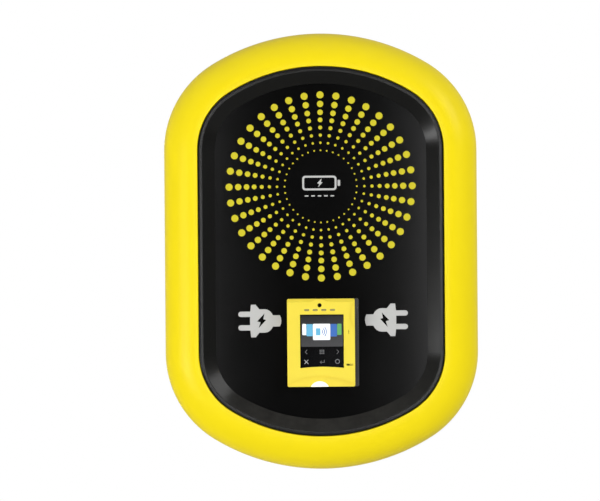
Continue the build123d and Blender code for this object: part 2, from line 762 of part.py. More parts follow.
for side, wall in socket_walls.items():
    hinge = hinge_line(wall)
    lock = lock_line(wall)

    with BuildPart() as socket_flange:
        with BuildSketch(wall.offset(flange_gasket)):
            RectangleRounded(flange_size, flange_size, flange_corner)
        extrude(amount=flange_plate)
        with BuildSketch(wall.offset(3)):
            with Locations((-ear_u, lid_hinge_rise - 2), (ear_u, lid_hinge_rise - 2)):
                Rectangle(ear_width, ear_height)
        extrude(amount=lid_hinge_out + 2)
        with BuildSketch(wall.offset(-shell_depth - insert_floor)):
            Circle(shell_radius)
        extrude(amount=shell_depth + insert_floor + flange_gasket)
        with BuildSketch(wall.offset(actuator_w)):
            with Locations((0, saddle_top)):
                Rectangle(saddle_width, 3.5, align=(Align.CENTER, Align.MAX))
        extrude(amount=actuator_width)
        with BuildSketch(wall.offset(flange_front)):
            Circle(shell_bore)
        extrude(amount=-flange_front - shell_depth, mode=Mode.SUBTRACT)
        with BuildSketch(wall.offset(-shell_depth)):
            with Locations(*power_contacts, *signal_contacts):
                Circle(contact_tail + fit)
        extrude(amount=-insert_floor, mode=Mode.SUBTRACT)
        with BuildSketch(wall.offset(flange_front)):
            with Locations(*socket_points):
                Circle(flange_screw[1] + 0.2)
        extrude(amount=-head_pocket, mode=Mode.SUBTRACT)
        with BuildSketch(wall.offset(flange_front)):
            with Locations(*socket_points):
                Circle(screw_hole)
        extrude(amount=-flange_plate, mode=Mode.SUBTRACT)
        add(cylinders(hinge, [(0, 0)], lid_pin_radius + pin_gap, -lid_pin_half - 4, lid_pin_half + 4),
            mode=Mode.SUBTRACT)
        add(cylinders(lock, [(0, 0)], lock_pin_radius + 0.2, shell_bore - 3, saddle_top), mode=Mode.SUBTRACT)
    save(socket_flange.part, f"{side}_socket_flange")

    with BuildPart() as contact_insert:
        with BuildSketch(wall.offset(-shell_depth)):
            Circle(insert_radius)
            with Locations((0, insert_flat)):
                Rectangle(60, 20, align=(Align.CENTER, Align.MIN), mode=Mode.SUBTRACT)
        extrude(amount=shell_depth + insert_front)
        front_edges = contact_insert.faces().sort_by(Axis(wall.origin, wall.z_dir))[-1].edges()
        chamfer(front_edges, 0.8)
        with BuildSketch(wall.offset(insert_front)):
            with Locations(*power_contacts):
                Circle(power_pin + sleeve_wall + fit)
            with Locations(*signal_contacts):
                Circle(signal_pin + sleeve_wall + fit)
        extrude(amount=insert_floor - shell_depth - insert_front, mode=Mode.SUBTRACT)
        with BuildSketch(wall.offset(-shell_depth)):
            with Locations(*power_contacts, *signal_contacts):
                Circle(contact_tail + fit)
        extrude(amount=insert_floor, mode=Mode.SUBTRACT)
    save(contact_insert.part, f"{side}_contact_insert")

    with BuildPart() as contacts:
        for points, pin in ((power_contacts, power_pin), (signal_contacts, signal_pin)):
            add(cylinders(wall, points, pin + sleeve_wall, insert_floor - shell_depth, 0))
            add(cylinders(wall, points, contact_tail, -shell_depth - 10, insert_floor - shell_depth))
            add(cylinders(wall, points, pin, -30, 0), mode=Mode.SUBTRACT)
    save(contacts.part, f"{side}_contacts")

    with BuildPart() as lid:
        with BuildSketch(wall.offset(lid_rear)):
            with Locations((0, -2)):
                RectangleRounded(lid_size, lid_size, 10)
        extrude(amount=lid_thickness)
        fillet(lid.faces().sort_by(Axis(wall.origin, wall.z_dir))[-1].edges(), 4)
        with BuildSketch(wall.offset(lid_rear)):
            with Locations((0, -lid_size / 2 - 5)):
                RectangleRounded(22, 10, 3)
        extrude(amount=4)
        with BuildSketch(wall.offset(lid_rear)):
            with Locations((0, lid_hinge_rise)):
                Rectangle(2 * barrel_half, 14, align=(Align.CENTER, Align.MAX))
        extrude(amount=7)
        add(cylinders(hinge, [(0, 0)], barrel_radius, -barrel_half, barrel_half))
        with BuildSketch(wall.offset(lid_hinge_out - barrel_radius - 1)):
            with Locations((0, lid_hinge_rise - barrel_radius - 2)):
                Rectangle(2 * spring_half, 20, align=(Align.CENTER, Align.MIN))
        extrude(amount=2 * barrel_radius + 2, mode=Mode.SUBTRACT)
        add(cylinders(hinge, [(0, 0)], lid_pin_radius + fit, -lid_pin_half - 4, lid_pin_half + 4),
            mode=Mode.SUBTRACT)
        with BuildSketch(wall.offset(lid_rear)):
            Circle(shell_bore - 2)
        extrude(amount=lid_thickness - lid_skin, mode=Mode.SUBTRACT)
    save(lid.part, f"{side}_lid")

    with BuildPart() as lid_seal:
        with BuildSketch(wall.offset(flange_front + 0.2)):
            Circle(lid_seal_inner + lid_seal_width)
            Circle(lid_seal_inner, mode=Mode.SUBTRACT)
        extrude(amount=lid_gap - 0.2)
    save(lid_seal.part, f"{side}_lid_seal")

    with BuildPart() as lock_pin:
        add(cylinders(lock, [(0, 0)], lock_pin_radius, shell_bore + 1, shell_bore + 19))
        chamfer(lock_pin.faces().sort_by(Axis.Z)[0].edges(), 0.8)
    save(lock_pin.part, f"{side}_lock_pin")

with BuildPart() as flange_gaskets:
    for wall in socket_walls.values():
        with BuildSketch(wall):
            RectangleRounded(flange_size, flange_size, flange_corner)
            Circle(shell_radius + 0.5, mode=Mode.SUBTRACT)
            with Locations(*socket_points):
                Circle(wide_screw_hole, mode=Mode.SUBTRACT)
        extrude(amount=flange_gasket)
save(flange_gaskets.part, "flange_gaskets")

with BuildPart() as socket_screws:
    for wall in socket_walls.values():
        add(screws(wall.offset(flange_front - head_pocket), socket_points, flange_screw, 12))
save(socket_screws.part, "socket_screws")

with BuildPart() as lock_actuators:
    for wall in socket_walls.values():
        lock = lock_line(wall)
        with BuildSketch(lock.offset(saddle_top)):
            RectangleRounded(actuator_width, actuator_width, 2)
            Circle(lock_pin_radius + fit, mode=Mode.SUBTRACT)
        extrude(amount=actuator_height - 2)
        with BuildSketch(lock.offset(saddle_top + actuator_height - 2)):
            RectangleRounded(actuator_width, actuator_width, 2)
        extrude(amount=2)
save(lock_actuators.part, "lock_actuators")

with BuildPart() as lid_pins:
    for wall in socket_walls.values():
        add(cylinders(hinge_line(wall), [(0, 0)], lid_pin_radius, -lid_pin_half, lid_pin_half))
save(lid_pins.part, "lid_pins")

wire = 0.75
coil_pitch = 1.4
with BuildPart() as lid_springs:
    for wall in socket_walls.values():
        origin = wall.from_local_coords((0, lid_hinge_rise, lid_hinge_out))
        with BuildSketch(Plane(origin=origin, x_dir=wall.x_dir, z_dir=wall.y_dir)):
            with Locations((0, lid_pin_radius + 0.2 + wire)):
                with GridLocations(coil_pitch, 1, 9, 1):
                    Circle(wire)
        revolve(axis=Axis(origin, wall.x_dir))
save(lid_springs.part, "lid_springs")

# ---------------------------------------------------------------- lock

lock_at = [(-lock_depth, lock_z)]

with BuildPart() as lock_cylinder:
    add(cylinders(right_wall, lock_at, lock_head_radius, 0, lock_head))
    fillet(lock_cylinder.faces().sort_by(Axis.X)[-1].edges(), 1.5)
    add(cylinders(right_wall, lock_at, lock_body_radius, -lock_body_length, 0))
    with BuildSketch(right_wall.offset(-box_wall)):
        with Locations(*lock_at):
            RegularPolygon(lock_nut_hex, 6)
            Circle(lock_body_radius, mode=Mode.SUBTRACT)
    extrude(amount=-lock_nut_height)
    add(cylinders(right_wall, lock_at, lock_core_radius + fit, -lock_body_length, lock_head),
        mode=Mode.SUBTRACT)
save(lock_cylinder.part, "lock_cylinder")

with BuildPart() as lock_cam:
    add(cylinders(right_wall, lock_at, lock_core_radius, cam_w - 1, lock_head + 0.2))
    with BuildSketch(right_wall.offset(lock_head + 0.2)):
        with Locations(*lock_at):
            Rectangle(7, 1.6)
    extrude(amount=-5, mode=Mode.SUBTRACT)
    with BuildSketch(right_wall.offset(cam_w)):
        with Locations((-lock_depth - cam_reach / 2, lock_z)):
            SlotCenterToCenter(cam_reach, 2 * cam_half_width)
    extrude(amount=cam_sheet)
save(lock_cam.part, "lock_cam")

# ---------------------------------------------------------------- door hinge

knuckle_split = hinge_length / 4
hinge_top = Plane(origin=(hinge_x, -hinge_depth, 0))
hinge_levels = (-hinge_z, hinge_z)

with BuildPart() as hinge_leaves_box:
    for level in hinge_levels:
        for start, end in ((-2 * knuckle_split, -knuckle_split), (knuckle_split, 2 * knuckle_split)):
            add(cylinders(hinge_top, [(0, 0)], knuckle_radius, level + start, level + end))
            with BuildSketch(hinge_top.offset(level + start)):
                with Locations((0, arm_offset)):
                    Rectangle(hinge_out, leaf_sheet, align=(Align.MIN, Align.MIN))
            extrude(amount=end - start)
        with BuildSketch(hinge_top.offset(level - hinge_length / 2)):
            with Locations((hinge_out, arm_offset)):
                Rectangle(leaf_sheet, leaf_reach, align=(Align.MAX, Align.MIN))
        extrude(amount=hinge_length)
    add(cylinders(hinge_top, [(0, 0)], hinge_pin_radius + pin_gap, -hinge_z - 30, hinge_z + 30),
        mode=Mode.SUBTRACT)
save(hinge_leaves_box.part, "hinge_leaves_box")

door_wall_x = half_width - frame_wall_inset
with BuildPart() as hinge_leaves_door:
    for level in hinge_levels:
        reach = -door_wall_x - hinge_x
        add(cylinders(hinge_top, [(0, 0)], knuckle_radius, level - knuckle_split + knuckle_gap,
                      level + knuckle_split - knuckle_gap))
        with BuildSketch(hinge_top.offset(level - knuckle_split + knuckle_gap)):
            with Locations((0, -arm_offset)):
                Rectangle(reach, leaf_sheet, align=(Align.MIN, Align.MAX))
        extrude(amount=2 * (knuckle_split - knuckle_gap))
        with BuildSketch(hinge_top.offset(level - hinge_length / 2)):
            with Locations((reach, -arm_offset)):
                Rectangle(leaf_sheet, leaf_reach + 10, align=(Align.MAX, Align.MAX))
        extrude(amount=hinge_length)
    add(cylinders(hinge_top, [(0, 0)], hinge_pin_radius + fit, -hinge_z - 30, hinge_z + 30),
        mode=Mode.SUBTRACT)
save(hinge_leaves_door.part, "hinge_leaves_door")

with BuildPart() as hinge_pins:
    for level in hinge_levels:
        add(cylinders(hinge_top, [(0, 0)], hinge_pin_radius, level - hinge_length / 2,
                      level + hinge_length / 2))
        add(cylinders(hinge_top, [(0, 0)], hinge_pin_radius + 1, level + hinge_length / 2,
                      level + hinge_length / 2 + 2))
save(hinge_pins.part, "hinge_pins")

# ---------------------------------------------------------------- door: sheet-metal frame, gasket, catch

boss_points = four_ways([outline_point(boss_inset, 20), outline_point(boss_inset, 72)])
boss_points += [(half_width - boss_inset, 0), (boss_inset - half_width, 0)]
terminal_window_width = terminal_body_width + 14
terminal_window_height = terminal_body_height + 14

with BuildPart() as door_frame:
    with BuildSketch(at_depth(plate_rear)):
        add(outline(frame_plate_inset))
        with Locations((0, terminal_z)):
            RectangleRounded(terminal_window_width, terminal_window_height, 4, mode=Mode.SUBTRACT)
        with Locations(*boss_points):
            Circle(cowl_screw[0] + loose, mode=Mode.SUBTRACT)
    extrude(amount=frame_sheet)
    with BuildSketch(at_depth(frame_front)):
        add(ring(panel_inset + 1.5, panel_inset + 5.5))
    extrude(amount=panel_stand)
    with BuildSketch(at_depth(frame_rear)):
        add(ring(frame_wall_inset, frame_wall_inset + frame_sheet))
    extrude(amount=frame_depth - frame_sheet)
    with BuildSketch(at_depth(frame_rear)):
        add(ring(frame_wall_inset, frame_wall_inset + rear_flange))
    extrude(amount=frame_sheet)
save(door_frame.part, "door_frame")

with BuildPart() as door_gasket:
    with BuildSketch(at_depth(gasket_rear)):
        add(ring(gasket_inset, gasket_inset + gasket_width))
    extrude(amount=gasket_thickness)
save(door_gasket.part, "door_gasket")

catch_sheet = 2.0
catch_x = box_side + cam_w + cam_sheet + 1
catch_z = lock_z + cam_reach - 4
catch_width = 20.0
foot_front = lock_depth - cam_half_width - 0.5
catch_front = frame_rear + frame_sheet + catch_sheet
catch_right = door_wall_x - frame_sheet - loose

with BuildPart() as door_catch:
    with BuildSketch(Plane.XY.offset(catch_z - catch_width / 2)):
        with Locations((catch_x, -catch_front)):
            Rectangle(catch_right - catch_x, catch_sheet, align=(Align.MIN, Align.MIN))
            Rectangle(catch_sheet, catch_front - foot_front + catch_sheet, align=(Align.MIN, Align.MIN))
        with Locations((catch_x + catch_sheet, -foot_front)):
            Rectangle(10, catch_sheet, align=(Align.MAX, Align.MIN))
    extrude(amount=catch_width)
save(door_catch.part, "door_catch")

save(screws(facing_wall(plate_rear), boss_points, cowl_screw, 14), "door_screws")

# ---------------------------------------------------------------- door: cowl, bezel and panel

cowl_depth = cowl_front - cowl_rear

with BuildPart() as cowl_hollow:
    with BuildSketch(at_depth(cowl_rear)):
        add(outline(cowl_wall))
    extrude(amount=cowl_depth - cowl_wall)
    fillet(cowl_hollow.faces().sort_by(Axis.Y)[0].edges(), cowl_round - cowl_wall)

with BuildPart() as front_cowl:
    with BuildSketch(at_depth(cowl_rear)):
        add(outline(0))
    extrude(amount=cowl_depth)
    fillet(front_cowl.faces().sort_by(Axis.Y)[0].edges(), cowl_round)
    add(cowl_hollow.part, mode=Mode.SUBTRACT)
    # return lip around the opening, which presses on the bezel's flange
    with BuildSketch(at_depth(lip_rear)):
        add(ring(cowl_ring - cowl_wall, cowl_ring + 1))
    extrude(amount=cowl_front - cowl_wall / 2 - lip_rear)
    # bosses for the screws that hold the cowl to the frame
    add(cylinders(at_depth(frame_front), boss_points, boss_radius, 0, boss_height))
    add(cylinders(at_depth(frame_front), boss_points, cowl_screw[0], 0, boss_height - 3.5),
        mode=Mode.SUBTRACT)
    with BuildSketch(at_depth(cowl_rear)):
        add(outline(cowl_ring))
    extrude(amount=cowl_depth, mode=Mode.SUBTRACT)
    fillet(front_cowl.faces().sort_by(Axis.Y)[0].inner_wires()[0].edges(), 1.0)
save(front_cowl.part, "front_cowl")

with BuildPart() as bezel_funnel:
    with BuildSketch(at_depth(bezel_front)):
        add(outline(slope_inset))
    with BuildSketch(at_depth(panel_front + bezel_lip)):
        add(outline(bezel_opening))
    loft(ruled=True)

with BuildPart() as bezel:
    with BuildSketch(at_depth(frame_front)):
        add(ring(bezel_inset, panel_inset - panel_gap))
    extrude(amount=bezel_front - frame_front)
    with BuildSketch(at_depth(panel_front)):
        add(ring(bezel_inset, bezel_opening))
    extrude(amount=bezel_front - panel_front)
    add(bezel_funnel.part, mode=Mode.SUBTRACT)
    crest = bezel.faces().sort_by(Axis.Y)[0]
    fillet(crest.edges(), bezel_round)
    with BuildSketch(at_depth(frame_front)):
        add(ring(cowl_ring - cowl_wall - 2, panel_inset - panel_gap))
    extrude(amount=bezel_flange)
    with BuildSketch(at_depth(frame_front)):
        add(ring(bezel_inset + 3, panel_inset - 3))
    extrude(amount=panel_stand + panel_thickness, mode=Mode.SUBTRACT)
save(bezel.part, "bezel")

terminal_screw_points = [(sx * (terminal_width / 2 - 3.4), terminal_z + sz * (terminal_height / 2 - 4))
                         for sx in (1, -1) for sz in (1, -1)]

with BuildPart() as front_panel:
    with BuildSketch(at_depth(panel_rear)):
        add(outline(panel_inset))
        with Locations((0, terminal_z)):
            RectangleRounded(terminal_body_width + 2, terminal_body_height + 2, case_wall, mode=Mode.SUBTRACT)
        with Locations(*terminal_screw_points):
            Circle(screw_hole, mode=Mode.SUBTRACT)
    extrude(amount=panel_thickness)
save(front_panel.part, "front_panel")

# ---------------------------------------------------------------- payment terminal

left_edge = -terminal_width / 2
right_edge = terminal_width / 2 - 2
corner = 1.8
screen_recess = 2.0
screen_floor = terminal_front - screen_recess
slot_top = 41.0
sensor_radius = 2.4
indicator_width = 6.0
indicator_height = 2.1
glass_thickness = 1.4
board_at = (-1.0, 12.0)
display_height = 6.4
top_bevel = 4.0
top_bevel_depth = 2.5
step_depth = 2.5
step_side = 2.5
step_rise = 13.0
bump_width = 20.0
bump_rise = 3.5


def on_terminal(depth):
    """A plane at a depth with its origin at the terminal's middle."""
    return Plane(origin=(0, -depth, terminal_z), x_dir=(1, 0, 0), z_dir=(0, -1, 0))


def screen_shape(margin):
    """The screen's window: straight sides and a bottom edge that bows upward."""
    half = screen_width / 2 - margin
    with BuildSketch() as sketch:
        with BuildLine():
            Polyline((half, screen_bottom + margin), (half, screen_top - margin),
                     (-half, screen_top - margin), (-half, screen_bottom + margin))
            ThreePointArc((-half, screen_bottom + margin), (0, screen_bottom + margin + screen_bow),
                          (half, screen_bottom + margin))
        make_face()
    return sketch.sketch


with BuildPart() as terminal_case_rear:
    with BuildSketch(on_terminal(panel_front)):
        with Locations((swipe_slot / 2, 0)):
            RectangleRounded(terminal_width + swipe_slot - 1, terminal_height, corner)
    extrude(amount=terminal_base)
    with BuildSketch(on_terminal(panel_front)):
        RectangleRounded(terminal_body_width, terminal_body_height, 3)
    extrude(amount=-terminal_body_depth)
    with BuildSketch(on_terminal(terminal_base_front)):
        with Locations((right_edge + swipe_slot, slot_top)):
            Rectangle(swipe_wall, slot_top + terminal_height / 2 - corner, align=(Align.MIN, Align.MAX))
    extrude(amount=terminal_front - terminal_base_front - 1)
    # room for the board and the card reader, closed at the back
    with BuildSketch(on_terminal(terminal_base_front)):
        RectangleRounded(terminal_body_width - 2 * case_wall, terminal_body_height - 2 * case_wall, 2)
    extrude(amount=case_wall - terminal_body_depth - terminal_base, mode=Mode.SUBTRACT)
    with BuildSketch(on_terminal(terminal_base_front)):
        with Locations(*[(x, z - terminal_z) for x, z in terminal_screw_points]):
            Circle(1.8)
    extrude(amount=-terminal_base, mode=Mode.SUBTRACT)
save(terminal_case_rear.part, "terminal_case_rear")

sensor_at = (-2.5, 43.6)
indicators_at = [(x, 38.1) for x in (-17.5, -7.6, 2.4, 12.5)]
reader_x = -2.9
reader_width = 21.3
reader_rise = 6.5
reader_radius = ((reader_width / 2) ** 2 + reader_rise ** 2) / (2 * reader_rise)
case_bottom = -terminal_height / 2
case_top = terminal_height / 2
card_width = 56.0
card_slit = 1.4
card_depth = terminal_base_front + 4.5


def reader_mouth(margin):
    """The crescent around the card reader's mouth: a segment of a circle that stands on the lower edge."""
    with BuildSketch() as sketch:
        with Locations((reader_x, case_bottom + reader_rise - reader_radius)):
            Circle(reader_radius - margin)
        with Locations((reader_x, case_bottom)):
            Rectangle(4 * reader_radius, 4 * reader_radius, align=(Align.CENTER, Align.MAX),
                      mode=Mode.SUBTRACT)
    return sketch.sketch


with BuildPart() as terminal_case_front:
    with BuildSketch(on_terminal(terminal_base_front)):
        with Locations(((left_edge + right_edge) / 2, 0)):
            RectangleRounded(right_edge - left_edge, terminal_height, corner)
    extrude(amount=terminal_front - terminal_base_front)
    # bevel along the top edge
    with BuildSketch(across(left_edge)):
        with BuildLine():
            Polyline((-terminal_front, terminal_z + case_top),
                     (-terminal_front, terminal_z + case_top - top_bevel),
                     (top_bevel_depth - terminal_front, terminal_z + case_top), close=True)
        make_face()
    extrude(amount=terminal_width, mode=Mode.SUBTRACT)
    # arched bump that carries the light sensor
    with BuildSketch(on_terminal(terminal_base_front)):
        with BuildLine():
            ThreePointArc((sensor_at[0] - bump_width / 2, case_top - top_bevel),
                          (sensor_at[0], case_top - top_bevel + bump_rise),
                          (sensor_at[0] + bump_width / 2, case_top - top_bevel))
            Polyline((sensor_at[0] + bump_width / 2, case_top - top_bevel),
                     (sensor_at[0] + bump_width / 2, case_top - top_bevel - 1),
                     (sensor_at[0] - bump_width / 2, case_top - top_bevel - 1),
                     (sensor_at[0] - bump_width / 2, case_top - top_bevel))
        make_face()
    extrude(amount=terminal_front - terminal_base_front)
    # arched step over the card reader
    with BuildSketch(on_terminal(terminal_front)):
        with BuildLine():
            ThreePointArc((left_edge, case_bottom + step_side), (reader_x, case_bottom + step_rise),
                          (right_edge, case_bottom + step_side))
            Polyline((right_edge, case_bottom + step_side), (right_edge, case_bottom),
                     (left_edge, case_bottom), (left_edge, case_bottom + step_side))
        make_face()
    extrude(amount=-step_depth, mode=Mode.SUBTRACT)
    # scoop that leads a card into the swipe slot
    with BuildSketch(on_terminal(terminal_front)):
        with Locations((right_edge, 32)):
            Ellipse(6, 14.5)
    extrude(amount=-2, mode=Mode.SUBTRACT)
    with BuildSketch(on_terminal(terminal_front)):
        add(screen_shape(0))
    extrude(amount=screen_floor - terminal_front, mode=Mode.SUBTRACT)
    with BuildSketch(on_terminal(screen_floor)):
        add(screen_shape(4))
    extrude(amount=-2, mode=Mode.SUBTRACT)
    with BuildSketch(on_terminal(terminal_base_front)):
        with Locations(board_at):
            RectangleRounded(terminal_body_width + 2, 74, 2)
    extrude(amount=6, mode=Mode.SUBTRACT)
    with BuildSketch(on_terminal(terminal_front)):
        with Locations(sensor_at):
            Circle(sensor_radius)
        with Locations(*indicators_at):
            SlotOverall(indicator_width, indicator_height)
    extrude(amount=-1, mode=Mode.SUBTRACT)
    with BuildSketch(on_terminal(terminal_front)):
        add(reader_mouth(0))
    extrude(amount=-7, mode=Mode.SUBTRACT)
    # slit that the card slides up into, from the lower edge
    with BuildSketch(on_terminal(card_depth)):
        with Locations((reader_x, case_bottom)):
            Rectangle(card_width, 24, align=(Align.CENTER, Align.MIN))
    extrude(amount=card_slit, mode=Mode.SUBTRACT)
    with BuildSketch(on_terminal(terminal_base_front)):
        with Locations(*[(x, z - terminal_z) for x, z in terminal_screw_points]):
            Circle(1.6)
    extrude(amount=5, mode=Mode.SUBTRACT)
save(terminal_case_front.part, "terminal_case_front")

with BuildPart() as card_slot_lens:
    with BuildSketch(on_terminal(card_depth + card_slit)):
        add(reader_mouth(fit))
    extrude(amount=terminal_front - 1.5 - card_depth - card_slit)
save(card_slot_lens.part, "card_slot_lens")

with BuildPart() as terminal_glass:
    with BuildSketch(on_terminal(screen_floor)):
        add(screen_shape(fit))
    extrude(amount=glass_thickness)
save(terminal_glass.part, "terminal_glass")

with BuildPart() as terminal_board:
    with BuildSketch(on_terminal(terminal_base_front - 2)):
        with Locations(board_at):
            RectangleRounded(58, 56, 2)
    extrude(amount=1.6)
    with BuildSketch(on_terminal(terminal_base_front - 0.4)):
        with Locations((0, 2)):
            Rectangle(43, 53)
    extrude(amount=display_height - fit)
save(terminal_board.part, "terminal_board")

save(screws(facing_wall(panel_rear), [(-x, z) for x, z in terminal_screw_points], case_screw, 11),
     "terminal_screws")
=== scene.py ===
# %% [markdown]
# # A wall charging box for two cars
# The real object is a moulded yellow ring around a gloss black panel, with a payment terminal low on the
# panel and a deep steel box behind it. The engineering model already holds every piece at its real size
# and place, so this lesson never moves one. It gives each piece the surface that it has on a bench: it
# rebuilds the two big front shells with clean curvature, prints the artwork on the panel, draws what the
# terminal's screen shows, and lights the result like a product table.

# %% Load the engineering model
import bpy
import bmesh
import json
from math import atan2, cos, pi, radians, sin
from mathutils import Matrix, Vector


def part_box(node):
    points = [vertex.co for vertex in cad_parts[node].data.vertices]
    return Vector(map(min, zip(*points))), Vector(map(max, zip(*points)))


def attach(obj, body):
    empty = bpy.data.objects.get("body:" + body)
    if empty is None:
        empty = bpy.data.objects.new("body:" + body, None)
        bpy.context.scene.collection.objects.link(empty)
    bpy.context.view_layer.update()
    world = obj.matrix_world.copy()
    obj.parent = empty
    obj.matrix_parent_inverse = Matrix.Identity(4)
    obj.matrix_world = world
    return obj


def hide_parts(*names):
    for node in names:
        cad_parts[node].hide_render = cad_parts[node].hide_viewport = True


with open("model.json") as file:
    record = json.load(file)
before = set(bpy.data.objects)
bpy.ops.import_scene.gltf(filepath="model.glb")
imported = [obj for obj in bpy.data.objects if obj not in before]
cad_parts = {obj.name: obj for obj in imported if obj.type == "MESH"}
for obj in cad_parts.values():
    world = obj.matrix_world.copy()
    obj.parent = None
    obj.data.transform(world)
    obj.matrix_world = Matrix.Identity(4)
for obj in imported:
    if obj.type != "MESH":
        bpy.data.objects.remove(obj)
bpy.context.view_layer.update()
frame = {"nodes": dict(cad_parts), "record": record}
MM = 0.001
print("pieces in the model:", len(frame["nodes"]))

# %% [markdown]
# ## Materials
# Almost every surface here is moulded plastic, powder paint or zinc. They differ in colour, gloss and
# grain, but the small faults are the same: colour drifts a little, a mould leaves a fine grain, and dust
# settles on whatever faces up. Each fault is one node group, built once, and each material places the
# groups with its own numbers. The groups put out only values and colours, so the surface shader itself
# stays in the material, where it can be read and changed.

# %% A helper that starts a shader node group
def start_group(name, inputs, outputs):
    """A new shader group with float inputs given as {name: default} and outputs as {name: socket type}."""
    group = bpy.data.node_groups.new(name, "ShaderNodeTree")
    for label, value in inputs.items():
        socket = group.interface.new_socket(label, in_out="INPUT", socket_type="NodeSocketFloat")
        socket.default_value = value
    for label, kind in outputs.items():
        group.interface.new_socket(label, in_out="OUTPUT", socket_type=kind)
    return group, group.nodes.new("NodeGroupInput"), group.nodes.new("NodeGroupOutput")


def noise(tree, coordinates, detail=3.0, roughness=0.5):
    """A noise texture on the given coordinates."""
    node = tree.nodes.new("ShaderNodeTexNoise")
    node.inputs["Detail"].default_value = detail
    node.inputs["Roughness"].default_value = roughness
    tree.links.new(coordinates, node.inputs["Vector"])
    return node


def calculate(tree, operation, first, second, clamp=False):
    """A math node; each operand is a socket or a number."""
    node = tree.nodes.new("ShaderNodeMath")
    node.operation = operation
    node.use_clamp = clamp
    for slot, value in zip(node.inputs, (first, second)):
        if isinstance(value, (int, float)):
            slot.default_value = value
        else:
            tree.links.new(value, slot)
    return node.outputs[0]


# %% The mould grain, the drift of colour, and settled dust
def make_grain():
    """Fine pits and a slow ripple, as one height."""
    group, given, result = start_group("moulded_grain", {"Scale": 2000.0, "Ripple": 0.3},
                                       {"Height": "NodeSocketFloat", "Speck": "NodeSocketFloat"})
    place = group.nodes.new("ShaderNodeTexCoord").outputs["Object"]
    fine = noise(group, place, 2.0)
    group.links.new(given.outputs["Scale"], fine.inputs["Scale"])
    slow = noise(group, place, 1.0)
    group.links.new(calculate(group, "MULTIPLY", given.outputs["Scale"], 0.04), slow.inputs["Scale"])
    ripple = calculate(group, "MULTIPLY", slow.outputs["Fac"], given.outputs["Ripple"])
    group.links.new(calculate(group, "ADD", fine.outputs["Fac"], ripple), result.inputs["Height"])
    group.links.new(fine.outputs["Fac"], result.inputs["Speck"])
    return group


def make_drift():
    """A mask that wanders slowly over a piece, for colour and gloss."""
    group, given, result = start_group("slow_drift", {"Scale": 12.0, "Amount": 0.1},
                                       {"Shift": "NodeSocketFloat"})
    place = group.nodes.new("ShaderNodeTexCoord").outputs["Object"]
    cloud = noise(group, place, 4.0, 0.6)
    group.links.new(given.outputs["Scale"], cloud.inputs["Scale"])
    centred = calculate(group, "SUBTRACT", cloud.outputs["Fac"], 0.5)
    group.links.new(calculate(group, "MULTIPLY", centred, given.outputs["Amount"]), result.inputs["Shift"])
    return group


def make_dust():
    """How much dust lies on a point: more where the surface faces up, broken up by noise."""
    group, given, result = start_group("settled_dust", {"Amount": 0.3}, {"Mask": "NodeSocketFloat"})
    coordinates = group.nodes.new("ShaderNodeTexCoord")
    split = group.nodes.new("ShaderNodeSeparateXYZ")
    group.links.new(coordinates.outputs["Normal"], split.inputs[0])
    cloud = noise(group, coordinates.outputs["Object"], 6.0, 0.7)
    cloud.inputs["Scale"].default_value = 60.0
    upward = calculate(group, "MULTIPLY", split.outputs["Z"], given.outputs["Amount"], clamp=True)
    group.links.new(calculate(group, "MULTIPLY", upward, cloud.outputs["Fac"], clamp=True),
                    result.inputs["Mask"])
    return group


GRAIN, DRIFT, DUST = make_grain(), make_drift(), make_dust()
print("shader groups:", GRAIN.name, DRIFT.name, DUST.name)

# %% One function that makes a finish
DUST_COLOUR = (0.42, 0.40, 0.36, 1.0)


def finish(name, colour, roughness, metallic=0.0, coat=0.0, grain=2000.0, depth=0.05, ripple=0.3,
           drift=0.08, drift_scale=12.0, dust=0.15, gloss_drift=0.1, glow=0.0, shine=0.5):
    """A material with drifting colour, mould grain and dust around its own Principled shader."""
    material = bpy.data.materials.new(name)
    material.use_nodes = True
    tree = material.node_tree
    shader = tree.nodes["Principled BSDF"]
    shader.inputs["Metallic"].default_value = metallic
    shader.inputs["Specular IOR Level"].default_value = shine
    shader.inputs["Coat Weight"].default_value = coat
    shader.inputs["Coat Roughness"].default_value = 0.04

    def place(group, values):
        node = tree.nodes.new("ShaderNodeGroup")
        node.node_tree = group
        for label, value in values.items():
            node.inputs[label].default_value = value
        return node

    shift = place(DRIFT, {"Scale": drift_scale, "Amount": drift}).outputs["Shift"]
    base = tree.nodes.new("ShaderNodeHueSaturation")
    base.inputs["Color"].default_value = (*colour, 1.0)
    tree.links.new(calculate(tree, "ADD", shift, 1.0), base.inputs["Value"])
    dusty = tree.nodes.new("ShaderNodeMix")
    dusty.data_type = "RGBA"
    tree.links.new(place(DUST, {"Amount": dust}).outputs["Mask"], dusty.inputs["Factor"])
    tree.links.new(base.outputs["Color"], dusty.inputs[6])
    dusty.inputs[7].default_value = DUST_COLOUR
    tree.links.new(dusty.outputs[2], shader.inputs["Base Color"])
    skin = place(GRAIN, {"Scale": grain, "Ripple": ripple})
    spread = calculate(tree, "MULTIPLY", skin.outputs["Speck"], gloss_drift)
    level = calculate(tree, "ADD", spread, roughness - gloss_drift / 2)
    tree.links.new(calculate(tree, "ADD", level, shift, clamp=True), shader.inputs["Roughness"])
    bump = tree.nodes.new("ShaderNodeBump")
    bump.inputs["Strength"].default_value = depth
    bump.inputs["Distance"].default_value = 0.0004
    tree.links.new(skin.outputs["Height"], bump.inputs["Height"])
    tree.links.new(bump.outputs["Normal"], shader.inputs["Normal"])
    if glow:
        shader.inputs["Emission Color"].default_value = (*colour, 1.0)
        shader.inputs["Emission Strength"].default_value = glow
    return material


